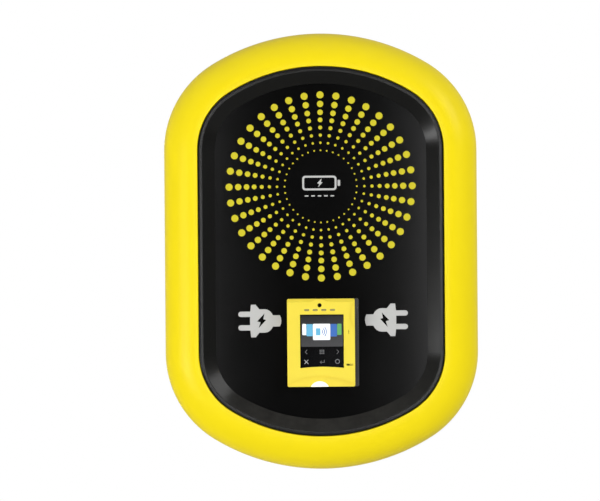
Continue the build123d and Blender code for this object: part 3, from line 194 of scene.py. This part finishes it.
# %% The finishes of this box
paints = {
    "cowl": finish("yellow_moulding", (0.93, 0.74, 0.004), 0.36, depth=0.03, grain=900.0, ripple=2.0,
                   drift=0.03, drift_scale=5.0, dust=0.10, shine=0.15),
    "bezel": finish("black_satin", (0.004, 0.004, 0.0035), 0.2, depth=0.03, grain=2600.0, drift=0.15,
                    shine=0.15),
    "panel": finish("black_gloss", (0.0025, 0.0025, 0.0025), 0.10, depth=0.008, grain=500.0, ripple=3.0,
                    drift=0.05, dust=0.05, gloss_drift=0.04, shine=0.05),
    "ink": finish("yellow_ink", (0.65, 0.57, 0.02), 0.35, depth=0.04, grain=3000.0, drift=0.05, dust=0.0,
                  shine=0.1),
    "grey_ink": finish("grey_ink", (0.54, 0.54, 0.53), 0.45, depth=0.04, grain=3000.0, drift=0.05, dust=0.0,
                       shine=0.1),
    "dark_ink": finish("dark_ink", (0.02, 0.02, 0.02), 0.5, depth=0.04, grain=3000.0, drift=0.1, dust=0.0),
    "box": finish("powder_coat", (0.042, 0.043, 0.046), 0.48, depth=0.35, grain=1500.0, ripple=0.8,
                  drift=0.12),
    "zinc": finish("zinc_sheet", (0.42, 0.43, 0.44), 0.36, metallic=1.0, depth=0.08, grain=900.0, ripple=1.5,
                   drift=0.35, drift_scale=70.0, dust=0.1),
    "steel": finish("plated_steel", (0.56, 0.56, 0.54), 0.24, metallic=1.0, depth=0.05, grain=3000.0,
                    drift=0.15),
    "silver": finish("silver_plate", (0.74, 0.72, 0.68), 0.22, metallic=1.0, depth=0.03, grain=3000.0),
    "brass": finish("machined_brass", (0.60, 0.40, 0.13), 0.27, metallic=1.0, depth=0.05, grain=2500.0),
    "nylon": finish("black_nylon", (0.018, 0.018, 0.018), 0.5, depth=0.15, grain=2200.0, drift=0.15),
    "rubber": finish("soft_rubber", (0.012, 0.012, 0.012), 0.75, depth=0.2, grain=1800.0, drift=0.2,
                     dust=0.3),
    "socket": finish("socket_plastic", (0.028, 0.029, 0.031), 0.46, depth=0.2, grain=2400.0, drift=0.1),
    "black": finish("grained_black", (0.014, 0.014, 0.014), 0.42, depth=0.15, grain=2400.0, drift=0.1),
    "device": finish("device_grey", (0.50, 0.51, 0.50), 0.48, depth=0.10, grain=2600.0, drift=0.05),
    "blue": finish("lever_blue", (0.012, 0.06, 0.26), 0.4, depth=0.08, grain=2600.0),
    "amber": finish("button_yellow", (0.76, 0.47, 0.01), 0.4, depth=0.08, grain=2600.0),
    "terminal": finish("terminal_yellow", (0.90, 0.72, 0.045), 0.42, depth=0.08, grain=2600.0, drift=0.03,
                       shine=0.3),
    "glass": finish("screen_glass", (0.0025, 0.0025, 0.003), 0.06, depth=0.004, grain=400.0, dust=0.02,
                    gloss_drift=0.02),
    "board": finish("solder_mask", (0.008, 0.11, 0.045), 0.35, depth=0.1, grain=1500.0, drift=0.25),
    "lens": finish("milky_lens", (0.93, 0.91, 0.78), 0.25, depth=0.02, grain=1500.0, drift=0.02, glow=0.25),
    "olive": finish("smoked_window", (0.20, 0.17, 0.015), 0.2, depth=0.02, grain=1500.0, drift=0.1),
}
print("finishes:", len(paints))

# %% [markdown]
# ## The outline that every shell follows
# The ring, the black frame inside it and the panel all share one outline: straight sides, a haunch arc at
# each shoulder and a wide crown arc at top and bottom, each tangent to the next. An outline made of tangent
# arcs has a happy property: moved inward by any distance, it keeps the same arc centres. So one list of
# stations, each a point with its outward direction, is enough to sweep any section round the box.

# %% Stations round the outline
low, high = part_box("front_cowl")
half_width = (high.x - low.x) / 2 / MM
half_height = (high.z - low.z) / 2 / MM
CROWN_RISE, HAUNCH = 137.0, 118.9
straight = half_height - CROWN_RISE
crown = ((half_width - HAUNCH) ** 2 + CROWN_RISE ** 2 - HAUNCH ** 2) / (2 * (CROWN_RISE - HAUNCH))
lean = atan2(straight - (half_height - crown), half_width - HAUNCH)


def quarter(steps_side, steps_haunch, steps_crown):
    """Stations from the middle of the right side up to the top: (x, z, outward x, outward z)."""
    found = [(half_width, straight * i / steps_side, 1.0, 0.0) for i in range(steps_side)]
    for i in range(steps_haunch):
        angle = lean * i / steps_haunch
        found.append((half_width - HAUNCH + HAUNCH * cos(angle), straight + HAUNCH * sin(angle),
                      cos(angle), sin(angle)))
    for i in range(steps_crown + 1):
        angle = lean + (pi / 2 - lean) * i / steps_crown
        found.append((crown * cos(angle), half_height - crown + crown * sin(angle), cos(angle), sin(angle)))
    return found


def whole_outline(steps_side=10, steps_haunch=20, steps_crown=22):
    """Stations all the way round, anticlockwise as seen from the front."""
    right_top = quarter(steps_side, steps_haunch, steps_crown)
    left_top = [(-x, z, -nx, nz) for x, z, nx, nz in reversed(right_top[:-1])]
    top = right_top + left_top
    bottom = [(-x, -z, -nx, -nz) for x, z, nx, nz in top[1:-1]]
    return top + bottom


STATIONS = whole_outline()
print("half width and height:", round(half_width, 1), round(half_height, 1), "stations:", len(STATIONS))


# %% [markdown]
# ## Sweeping a section round the outline
# A section is a closed loop of (inset, depth) pairs: how far in from the outline, and how far out from the
# wall. Joining the same point of neighbouring stations makes clean quads that follow the form, so light
# runs along them without a ripple. A curve object with a bevel profile would also sweep, but it turns the
# section at every point and can pinch on the inside, and here the exact wall thickness matters.

# %% Turning points into pieces
def new_piece(name, mesh, body, material, replaced=()):
    """A finished mesh becomes a piece that moves with a body."""
    piece = bpy.data.objects.new(name, mesh)
    bpy.context.scene.collection.objects.link(piece)
    if material is not None:
        mesh.materials.clear()
        mesh.materials.append(material)
    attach(piece, body)
    if replaced:
        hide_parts(*replaced)
    return piece


def shade(mesh, angle=32.0):
    """Smooth shading that keeps the edges sharper than the angle."""
    for face in mesh.polygons:
        face.use_smooth = True
    mesh.set_sharp_from_angle(angle=radians(angle))


def outward(work):
    """Merge doubles and turn every face outward."""
    bmesh.ops.remove_doubles(work, verts=work.verts, dist=1e-6)
    bmesh.ops.recalc_face_normals(work, faces=work.faces)


def sweep_mesh(name, section, angle=32.0):
    """A closed ring: the section at every station, joined to the next."""
    work = bmesh.new()
    loops = [[work.verts.new(((x - nx * inset) * MM, -depth * MM, (z - nz * inset) * MM))
              for inset, depth in section] for x, z, nx, nz in STATIONS]
    for here, there in zip(loops, loops[1:] + loops[:1]):
        for i in range(len(section)):
            j = (i + 1) % len(section)
            work.faces.new((here[i], here[j], there[j], there[i]))
    outward(work)
    mesh = bpy.data.meshes.new(name)
    work.to_mesh(mesh)
    work.free()
    shade(mesh, angle)
    return mesh


def arc(centre, radius, start, end, steps):
    """Points of an arc in the section plane, angles in degrees from inward towards the front."""
    return [(centre[0] + radius * cos(radians(start + (end - start) * i / steps)),
             centre[1] + radius * sin(radians(start + (end - start) * i / steps))) for i in range(steps + 1)]


# %% [markdown]
# ## The yellow ring
# The ring is one moulding: a wall that rises from the box, rolls over a large radius and ends in a return
# lip round the opening. The wall is 3.5 mm thick all the way, as a moulder would want it, so the inside
# is the same curve at a smaller radius. The tiny fillet at the opening's edge is what draws the bright
# line between the yellow and the black.

# %% Sweep the ring
RING, WALL, ROLL, EDGE = 40.0, 3.5, 38.0, 1.0
ring_rear, ring_front = -high.y / MM, -low.y / MM
lip_rear = -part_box("bezel")[1].y / MM + 3.0
inner = ROLL - WALL
section = [(0.0, ring_rear)] + arc((ROLL, ring_front - ROLL), ROLL, 180, 90, 22)
section += arc((RING - EDGE, ring_front - EDGE), EDGE, 90, 0, 5) + [(RING, lip_rear), (RING - WALL, lip_rear)]
section += arc((ROLL, ring_front - ROLL), inner, 93, 180, 14) + [(WALL, ring_rear)]
cowl_mesh = sweep_mesh("yellow_ring", section)
print("ring faces:", len(cowl_mesh.polygons), "depth:", round(ring_rear, 1), "to", round(ring_front, 1))
new_piece("yellow_ring", cowl_mesh, "door", paints["cowl"], ["front_cowl"])

# %% [markdown]
# ## The black frame
# Inside the ring sits a satin black moulding with a narrow flat crest and a slope down to the panel. The
# crest catches the light as a thin bright line, which is why it gets real rounded corners here. A flange
# behind the ring's lip holds it in, and a hollow behind the slope keeps its walls even.

# %% Sweep the frame
bezel_low, bezel_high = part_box("bezel")
frame_rear, frame_front = -bezel_high.y / MM, -bezel_low.y / MM
panel_front = -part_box("front_panel")[0].y / MM
GAP, CREST, SLOPE, SOFT = 0.8, 5.2, 14.0, 1.2
outer, slope_top, mouth = RING + GAP, RING + GAP + CREST, RING + GAP + CREST + SLOPE
section = [(RING - WALL - 2.0, frame_rear), (RING - WALL - 2.0, lip_rear), (outer, lip_rear)]
section += arc((outer + SOFT, frame_front - SOFT), SOFT, 180, 90, 6)
section += arc((slope_top - 0.6, frame_front - SOFT), SOFT, 90, 57, 4)
section += [(mouth, panel_front + 1.5), (mouth, panel_front + 0.02), (mouth - 2.3, panel_front),
            (mouth - 2.3, frame_rear), (mouth - 5.0, frame_rear), (mouth - 5.0, panel_front),
            (outer + 3.0, panel_front), (outer + 3.0, frame_rear)]
frame_mesh = sweep_mesh("black_frame", section)
new_piece("black_frame", frame_mesh, "door", paints["bezel"], ["bezel"])
print("frame opening at inset", mouth)

# %% [markdown]
# ## Flat shapes with a little thickness
# Printed artwork, keys and screen symbols are all flat. A 2-D curve fills closed loops by itself, and a loop
# inside another becomes a hole, so letters of a picture language are easy: list the corners, let the curve
# fill them, then turn the result to face the front. A line symbol becomes a ribbon with mitred corners.

# %% Filled loops and ribbons
def flat_shape(name, loops, depth, thickness, material, body="door", bevel=0.0):
    """Loops of (x, z) in mm, filled and standing from a depth towards the viewer."""
    curve = bpy.data.curves.new(name, "CURVE")
    curve.dimensions = "2D"
    curve.fill_mode = "BOTH"
    curve.extrude = max(thickness / 2 - bevel, 0.001)
    curve.bevel_depth = bevel
    curve.bevel_resolution = 1
    curve.offset = -bevel
    for loop in loops:
        spline = curve.splines.new("POLY")
        spline.points.add(len(loop) - 1)
        for point, (x, z) in zip(spline.points, loop):
            point.co = (x, z, 0.0, 1.0)
        spline.use_cyclic_u = True
    holder = bpy.data.objects.new(name + "_curve", curve)
    bpy.context.scene.collection.objects.link(holder)
    graph = bpy.context.evaluated_depsgraph_get()
    mesh = bpy.data.meshes.new_from_object(holder.evaluated_get(graph))
    bpy.data.objects.remove(holder)
    mesh.name = name
    mesh.transform(Matrix.Translation((0, -(depth + thickness / 2) * MM, 0)) @ Matrix.Rotation(pi / 2, 4, "X")
                   @ Matrix.Scale(MM, 4))
    work = bmesh.new()
    work.from_mesh(mesh)
    outward(work)
    work.to_mesh(mesh)
    work.free()
    shade(mesh, 40.0)
    return new_piece(name, mesh, body, material)


def ribbon(points, width, closed=False):
    """The loops of a line drawn with a pen of the given width, with mitred corners."""
    count = len(points)
    left, right = [], []
    for i, (x, z) in enumerate(points):
        before = points[(i - 1) % count] if closed or i else None
        after = points[(i + 1) % count] if closed or i < count - 1 else None
        ways = []
        if before:
            ways.append(Vector((x - before[0], z - before[1])).normalized())
        if after:
            ways.append(Vector((after[0] - x, after[1] - z)).normalized())
        way = sum(ways, Vector((0, 0))).normalized()
        normal = Vector((-way.y, way.x))
        reach = width / 2 / max(0.35, normal.dot(Vector((-ways[0].y, ways[0].x))))
        left.append((x + normal.x * reach, z + normal.y * reach))
        right.append((x - normal.x * reach, z - normal.y * reach))
    return [left, right] if closed else [left + right[::-1]]


def rounded_box(x, z, width, height, radius, steps=5):
    """The loop of a rectangle with rounded corners round a centre."""
    loop = []
    for cx, cz, start in ((1, 1, 0), (-1, 1, 90), (-1, -1, 180), (1, -1, 270)):
        for i in range(steps + 1):
            angle = radians(start + 90 * i / steps)
            loop.append((x + cx * (width / 2 - radius) + radius * cos(angle),
                         z + cz * (height / 2 - radius) + radius * sin(angle)))
    return loop


def disc(x, z, radius, steps=28):
    """The loop of a circle."""
    angles = [2 * pi * i / steps for i in range(steps)]
    return [(x + radius * cos(angle), z + radius * sin(angle)) for angle in angles]


def moved(loops, x, z, flip=1.0):
    """Loops moved to a place, and mirrored left to right when flip is -1."""
    return [[(x + flip * px, z + pz) for px, pz in loop] for loop in loops]


# %% [markdown]
# ## Yellow dots, printed in rings
# The artwork is a sunburst: thirty-six spokes of dots that grow as they leave the middle. The rule is
# short, so Geometry Nodes can hold it: each point's number gives its ring and its spoke, the ring gives
# the radius and the size, and the spoke gives the direction. Changing one input redraws the whole print.

# %% A small kit for geometry trees
def geometry_tree(name, numbers):
    """A geometry group with named number inputs and one geometry output."""
    tree = bpy.data.node_groups.new(name, "GeometryNodeTree")
    tree.interface.new_socket("Geometry", in_out="OUTPUT", socket_type="NodeSocketGeometry")
    for label in numbers:
        tree.interface.new_socket(label, in_out="INPUT", socket_type="NodeSocketFloat")
    tree.interface.new_socket("Finish", in_out="INPUT", socket_type="NodeSocketMaterial")
    return tree, tree.nodes.new("NodeGroupInput").outputs, tree.nodes.new("NodeGroupOutput")


def wire(tree, kind, settings=None, **joined):
    """A node with its settings, and its inputs joined by name (spaces written as underscores)."""
    node = tree.nodes.new(kind)
    for key, value in (settings or {}).items():
        setattr(node, key, value)
    for label, value in joined.items():
        socket = node.inputs[label.replace("_", " ")]
        if isinstance(value, bpy.types.NodeSocket):
            tree.links.new(value, socket)
        else:
            socket.default_value = value
    return node


def close_tree(tree, result, instances, finish_socket):
    """Every tree ends alike: real geometry, then its finish."""
    real = wire(tree, "GeometryNodeRealizeInstances", Geometry=instances)
    painted = wire(tree, "GeometryNodeSetMaterial", Geometry=real.outputs[0], Material=finish_socket)
    tree.links.new(painted.outputs[0], result.inputs["Geometry"])


def run_tree(name, tree, numbers, material, body, smooth=40.0):
    """Runs a tree with its numbers in mm and keeps the result as a plain mesh."""
    holder = bpy.data.objects.new(name + "_source", bpy.data.meshes.new(name + "_source"))
    bpy.context.scene.collection.objects.link(holder)
    modifier = holder.modifiers.new("build", "NODES")
    modifier.node_group = tree
    for item in tree.interface.items_tree:
        if item.in_out == "INPUT":
            modifier[item.identifier] = material if item.name == "Finish" else float(numbers[item.name])
    graph = bpy.context.evaluated_depsgraph_get()
    mesh = bpy.data.meshes.new_from_object(holder.evaluated_get(graph))
    bpy.data.objects.remove(holder)
    mesh.transform(Matrix.Scale(MM, 4))
    shade(mesh, smooth)
    print(name, "faces:", len(mesh.polygons))
    return new_piece(name, mesh, body, material)


# %% The sunburst tree
dots, given, result = geometry_tree("sunburst", ["Spokes", "Rings", "First Radius", "Step", "Widening",
                                                 "First Size", "Growth", "Centre Height", "Depth", "Ink"])
index = wire(dots, "GeometryNodeInputIndex").outputs[0]
part_way = calculate(dots, "ADD", index, 0.5)
ring = calculate(dots, "FLOOR", calculate(dots, "DIVIDE", part_way, given["Spokes"]), 0)
turn = calculate(dots, "MULTIPLY", calculate(dots, "DIVIDE", index, given["Spokes"]), 2 * pi)
late = calculate(dots, "POWER", calculate(dots, "MAXIMUM", calculate(dots, "SUBTRACT", ring, 5.0), 0.0), 1.53)
radius = calculate(dots, "ADD", calculate(dots, "MULTIPLY", ring, given["Step"]), given["First Radius"])
radius = calculate(dots, "ADD", radius, calculate(dots, "MULTIPLY", late, given["Widening"]))
across = calculate(dots, "MULTIPLY", calculate(dots, "SINE", turn, 0), radius)
up = calculate(dots, "ADD", calculate(dots, "MULTIPLY", calculate(dots, "COSINE", turn, 0), radius),
               given["Centre Height"])
ahead = calculate(dots, "MULTIPLY", calculate(dots, "ADD", given["Depth"],
                                              calculate(dots, "DIVIDE", given["Ink"], 2.0)), -1.0)
place = wire(dots, "ShaderNodeCombineXYZ", X=across, Y=ahead, Z=up)
points = wire(dots, "GeometryNodePoints", Count=1)
dots.links.new(calculate(dots, "MULTIPLY", given["Spokes"], given["Rings"]), points.inputs["Count"])
dots.links.new(place.outputs[0], points.inputs["Position"])
size = calculate(dots, "ADD", calculate(dots, "MULTIPLY", ring, given["Growth"]), given["First Size"])
drop = wire(dots, "GeometryNodeMeshCylinder", Vertices=22, Radius=0.5, Depth=1.0)
scale = wire(dots, "ShaderNodeCombineXYZ", X=size, Y=size, Z=given["Ink"])
spread = wire(dots, "GeometryNodeInstanceOnPoints", Points=points.outputs[0], Instance=drop.outputs[0],
              Rotation=(pi / 2, 0.0, 0.0), Scale=scale.outputs[0])
close_tree(dots, result, spread.outputs[0], given["Finish"])

SUN_HEIGHT = 75.4
sunburst = {"Spokes": 36, "Rings": 8, "First Radius": 42.1, "Step": 8.86, "Widening": 0.91,
            "First Size": 1.93, "Growth": 0.91, "Centre Height": SUN_HEIGHT, "Depth": panel_front,
            "Ink": 0.06}
run_tree("printed_dots", dots, sunburst, paints["ink"], "door")

# %% [markdown]
# ## Pictures on the panel
# In the middle of the sunburst stands a plain battery with a bolt in it, and beside the terminal two plugs
# show which outlet is which. They are printed in light grey, so they are flat shapes a few hundredths of a
# millimetre thick. The bolt is a loop inside the plug's own loop, so the panel shows through it.

# %% Battery, dashes and plugs
INK = 0.06
BOLT = [(5.6, 8.8), (-3.2, -0.4), (0.9, -1.6), (-1.4, -8.3), (7.4, 1.1), (4.1, 2.2)]
battery_height = SUN_HEIGHT + 4.0
battery = [rounded_box(-1.5, 0, 40.0, 17.0, 3.6), rounded_box(-1.5, 0, 35.6, 12.6, 1.8),
           rounded_box(21.2, 0, 3.0, 7.0, 0.8)]
small_bolt = [(x * 0.60 - 2.2, z * 0.60) for x, z in BOLT]
flat_shape("battery_picture", moved(battery + [small_bolt], 0, battery_height), panel_front, INK,
           paints["grey_ink"])
flat_shape("battery_dashes", [rounded_box(-16.5 + 7.5 * i, battery_height - 15.0, 4.2, 1.5, 0.5)
                              for i in range(5)], panel_front, INK, paints["grey_ink"])

upper = [(-11.35, 0.0), (-11.3, 4.8), (-21.9, 4.8)]
upper += [(-21.9 - 3.1 * sin(pi * i / 8), 7.9 - 3.1 * cos(pi * i / 8)) for i in range(1, 8)]
upper += [(-21.9, 11.0), (-11.05, 11.0), (-10.2, 19.0), (-4.8, 19.0), (-0.5, 13.6), (5.6, 13.7), (8.7, 13.2),
          (11.6, 11.6), (13.8, 9.3), (15.3, 6.6), (23.4, 6.5), (24.7, 3.4), (25.1, 0.0)]
plug_loop = upper + [(x, -z) for x, z in reversed(upper[1:-1])]
for name, x, z, flip in (("left_plug_picture", -72.2, -80.9, 1.0), ("right_plug_picture", 75.5, -80.7, -1.0)):
    plug = moved([plug_loop, BOLT], x, z, flip)
    flat_shape(name, plug, panel_front, INK, paints["grey_ink"])

# %% [markdown]
# ## The payment terminal
# The terminal is a pale yellow moulding with a dark window. Its size and place come from the case in the
# engineering model, and everything printed or lit is placed from the middle of that case. The pictures on
# the screen stand just above the glass, inside the small step that the case makes round its window.

# %% Places on the terminal
terminal_low, terminal_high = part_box("terminal_case_rear")
TERMINAL = (terminal_low.z + terminal_high.z) / 2 / MM
glass_front = -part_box("terminal_glass")[0].y / MM
case_front = -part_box("terminal_case_front")[0].y / MM
print("terminal middle:", round(TERMINAL, 2))
print("glass at", round(glass_front, 2), "case front at", round(case_front, 2))


def screen_finish(name, colour, glow):
    """A lit colour behind a glossy cover."""
    return finish(name, colour, 0.12, depth=0.004, grain=400.0, drift=0.04, dust=0.0, gloss_drift=0.02,
                  glow=glow)


lit = {
    "white": screen_finish("screen_white", (0.80, 0.82, 0.83), 0.35),
    "sky": screen_finish("screen_sky", (0.12, 0.42, 0.64), 0.20),
    "blue": screen_finish("screen_blue", (0.03, 0.12, 0.42), 0.25),
    "green": screen_finish("screen_green", (0.10, 0.33, 0.09), 0.25),
    "symbol": screen_finish("screen_symbol", (0.13, 0.13, 0.135), 0.20),
    "bright_symbol": screen_finish("screen_bright_symbol", (0.38, 0.38, 0.39), 0.30),
    "print": finish("case_print", (0.07, 0.065, 0.05), 0.5, depth=0.04, grain=3000.0, dust=0.0),
}


def on_terminal(loops):
    """Loops measured from the middle of the terminal, moved to the panel's axes."""
    return moved(loops, 0.0, TERMINAL)


def fading_glow(name, dark_height, lit_height, colour):
    """A screen that brightens from black at one height to a colour at another, in mm from the middle."""
    material = screen_finish(name, (0.003, 0.003, 0.003), 1.0)
    tree = material.node_tree
    where = tree.nodes.new("ShaderNodeSeparateXYZ")
    tree.links.new(tree.nodes.new("ShaderNodeTexCoord").outputs["Object"], where.inputs[0])
    level = tree.nodes.new("ShaderNodeMapRange")
    tree.links.new(where.outputs["Z"], level.inputs["Value"])
    level.inputs["From Min"].default_value = (TERMINAL + dark_height) * MM
    level.inputs["From Max"].default_value = (TERMINAL + lit_height) * MM
    tint = tree.nodes.new("ShaderNodeMix")
    tint.data_type = "RGBA"
    tree.links.new(level.outputs["Result"], tint.inputs["Factor"])
    tint.inputs[6].default_value, tint.inputs[7].default_value = (0, 0, 0, 1), (*colour, 1)
    tree.links.new(tint.outputs[2], tree.nodes["Principled BSDF"].inputs["Emission Color"])
    return material


def strokes(lines, width):
    """One list of loops for several open lines."""
    return [loop for line in lines for loop in ribbon(line, width)]


# %% The card pictures in a row
LIFT = 0.04
for name, tone, x0, x1, z0, z1 in (
        ("card_white_edge", "white", -22.8, -18.2, 9.0, 22.0), ("card_sky", "sky", -18.0, -10.6, 7.7, 21.8),
        ("card_white", "white", -10.4, 9.7, 3.2, 22.1), ("card_blue", "blue", 9.9, 17.5, 7.2, 21.8),
        ("card_green", "green", 17.7, 22.8, 9.0, 22.0)):
    card = rounded_box((x0 + x1) / 2, (z0 + z1) / 2, x1 - x0, z1 - z0, 1.0)
    flat_shape(name, on_terminal([card]), glass_front, LIFT, lit[tone])
shelf = rounded_box(0.0, 13.5, 48.5, 36.0, 1.2)
flat_shape("card_shelf", on_terminal([shelf]), glass_front, 0.02,
           fading_glow("screen_fade", 31.0, -2.0, (0.042, 0.042, 0.045)))
waves = [[(-2.6 + r * cos(radians(a)), 12.8 + r * sin(radians(a))) for a in range(-42, 43, 12)]
         for r in (3.4, 5.6, 7.8)]
flat_shape("tap_here_waves", on_terminal(strokes(waves, 0.8)), glass_front + LIFT, 0.02, lit["blue"])
flat_shape("tap_here_card", on_terminal([rounded_box(-4.4, 12.8, 5.2, 8.2, 0.8)]), glass_front + LIFT, 0.02,
           lit["sky"])

# %% The six touch keys
PEN = 0.55
back = [[(-17.3, -8.1), (-19.5, -10.6), (-17.3, -13.1)]]
forward = [[(17.2, -8.1), (19.4, -10.6), (17.2, -13.1)]]
grid = [rounded_box(-0.1 + 2.0 * i, -10.6 + 1.85 * j, 1.3, 1.2, 0.25) for i in (-1, 0, 1) for j in (-1, 0, 1)]
flat_shape("touch_keys", on_terminal(strokes(back + forward, PEN) + grid), glass_front, LIFT, lit["symbol"])
cross = [[(-20.5, -19.9), (-16.1, -24.3)]]
cross_bars = [[(-16.1, -19.9), (-18.0, -21.8)], [(-18.6, -22.4), (-20.5, -24.3)]]
flat_shape("cancel_cross", on_terminal(strokes(cross + cross_bars, 0.7)), glass_front, LIFT,
           lit["bright_symbol"])
enter = [[(2.5, -19.9), (2.5, -22.7), (-2.0, -22.7)], [(-0.5, -21.0), (-2.3, -22.7), (-0.5, -24.4)]]
for name, line, lift in (("enter_line", enter[0], 1.0), ("enter_arrow", enter[1], 1.2)):
    flat_shape(name, on_terminal(strokes([line], PEN)), glass_front, LIFT * lift, lit["symbol"])
flat_shape("confirm_ring", on_terminal([disc(17.8, -21.8, 2.8), disc(17.8, -21.8, 1.9)]), glass_front, LIFT,
           lit["symbol"])

# %% The indicator windows, the sensor and the case's own pictures
flat_shape("indicator_windows", on_terminal([rounded_box(x, 38.1, 6.0, 2.1, 0.5)
                                               for x in (-17.5, -7.6, 2.4, 12.5)]),
           case_front - 0.3, 0.28, paints["olive"])
flat_shape("light_sensor", on_terminal([disc(-2.5, 43.6, 2.4)]), case_front - 0.3, 0.28, paints["glass"])
swipe = [rounded_box(31.2, 12.5, 0.8, 4.5, 0.2)]
chip = [rounded_box(31.8, -25.7, 6.8, 2.0, 0.4), rounded_box(33.2, -25.7, 2.4, 1.1, 0.2)]
for name, loops in (("swipe_picture", swipe), ("chip_picture", chip)):
    flat_shape(name, on_terminal(loops), case_front - 0.03, 0.03, lit["print"])

# %% [markdown]
# ## The rest of the pieces
# Everything else keeps its engineering shape and gets a finish by its slot. A node's own material slots are
# filled, and nothing of its shape is touched.

# %% Finishes by slot
by_slot = {"yellow_cowl": "cowl", "black_bezel": "bezel", "black_panel": "panel", "box_paint": "box",
           "galvanised": "zinc", "bright_steel": "steel", "plated_contact": "silver", "brass": "brass",
           "gland_nylon": "nylon", "rubber": "rubber", "socket_plastic": "socket", "dark_plastic": "black",
           "device_grey": "device", "lever_blue": "blue", "button_yellow": "amber",
           "terminal_yellow": "terminal", "screen_glass": "glass", "board_green": "board",
           "lens_white": "lens"}
slot_of = {part["node"]: part["material_slot"] for part in frame["record"]["subparts"]}
for name, node in frame["nodes"].items():
    paint = paints[by_slot[slot_of[name]]]
    if not node.material_slots:
        node.data.materials.append(paint)
    for slot in node.material_slots:
        slot.material = paint
print("nodes finished:", len(slot_of))

# %% [markdown]
# ## The room, the lights and the camera
# The box hangs on nothing here, well above a pale floor, in plain white surroundings. One large soft light
# stands low on the left, a second low in front and a weak one high on the right. Two narrow strips beside
# the camera draw the highlight on the frame's crest: it mirrors them towards the camera, while the flat
# panel mirrors the dark gap between them. The camera stands four metres away with a long lens, so the sides
# of the box hardly show.

# %% Floor
FLOOR, REACH, BACK = -0.62, 4.0, 3.0
floor_mesh = bpy.data.meshes.new("floor")
corners = [(-REACH, -REACH, FLOOR), (REACH, -REACH, FLOOR), (REACH, BACK, FLOOR), (-REACH, BACK, FLOOR)]
floor_mesh.from_pydata(corners, [], [(0, 1, 2, 3)])
floor = bpy.data.objects.new("floor", floor_mesh)
bpy.context.scene.collection.objects.link(floor)
floor_paint = finish("pale_floor", (0.82, 0.82, 0.81), 0.6, depth=0.02, grain=60.0, drift=0.02, dust=0.0)
floor_mesh.materials.append(floor_paint)

# %% Surroundings
WALLS, DARK_EDGE, SOFTNESS = 0.62, 0.95, 3.0
world = bpy.data.worlds.new("studio")
bpy.context.scene.world = world
world.use_nodes = True
sky = world.node_tree
for node in list(sky.nodes):
    sky.nodes.remove(node)
seen, lighting = sky.nodes.new("ShaderNodeBackground"), sky.nodes.new("ShaderNodeBackground")
seen.inputs["Color"].default_value, seen.inputs["Strength"].default_value = (1, 1, 1, 1), 1.0
direction = sky.nodes.new("ShaderNodeSeparateXYZ")
sky.links.new(sky.nodes.new("ShaderNodeTexCoord").outputs["Generated"], direction.inputs[0])
past_edge = calculate(sky, "ADD", direction.outputs["Y"], DARK_EDGE)
lit_part = calculate(sky, "MULTIPLY", past_edge, SOFTNESS, clamp=True)
sky.links.new(calculate(sky, "MULTIPLY", lit_part, WALLS), lighting.inputs["Strength"])
choose, path = sky.nodes.new("ShaderNodeMixShader"), sky.nodes.new("ShaderNodeLightPath")
sky.links.new(path.outputs["Is Camera Ray"], choose.inputs[0])
sky.links.new(lighting.outputs[0], choose.inputs[1])
sky.links.new(seen.outputs[0], choose.inputs[2])
sky.links.new(choose.outputs[0], sky.nodes.new("ShaderNodeOutputWorld").inputs["Surface"])
bpy.context.scene.view_settings.view_transform = "Standard"

# %% Lights
CAMERA_DISTANCE = 4.0
STRIP_OUT, CREST_OUT, CREST_DEPTH = 0.38, 0.13, 0.17


def soft_light(name, place, target, width, height, power):
    """An area light at a place, turned to a target, in metres and watts."""
    lamp = bpy.data.lights.new(name, "AREA")
    lamp.shape, lamp.size, lamp.size_y, lamp.energy = "RECTANGLE", width, height, power
    stand = bpy.data.objects.new(name, lamp)
    bpy.context.scene.collection.objects.link(stand)
    stand.location = place
    stand.rotation_euler = (Vector(target) - Vector(place)).to_track_quat("-Z", "Y").to_euler()
    return stand


soft_light("low_left", (-1.9, -2.0, -1.0), (0, -0.1, 0), 1.6, 1.6, 136)
soft_light("low_front", (0.1, -2.4, -1.9), (0, -0.1, 0), 1.8, 0.9, 56)
soft_light("high_right", (2.0, -1.6, 1.2), (0, -0.1, 0.05), 1.2, 1.0, 24)
for name, side in (("strip_left", -1), ("strip_right", 1)):
    strip = soft_light(name, (side * STRIP_OUT, -CAMERA_DISTANCE, 0), (side * CREST_OUT, -CREST_DEPTH, 0),
                       0.18, 1.2, 15)
    strip.visible_camera = False

# %% Camera
lens = bpy.data.cameras.new("camera")
lens.sensor_width, lens.lens = 36.0, 196.9
lens.clip_end = 50.0
camera = bpy.data.objects.new("camera", lens)
bpy.context.scene.collection.objects.link(camera)
camera.location = (-0.0247, -CAMERA_DISTANCE, 0.0009)
camera.rotation_euler = (pi / 2, radians(0.45), 0.0)
bpy.context.scene.camera = camera
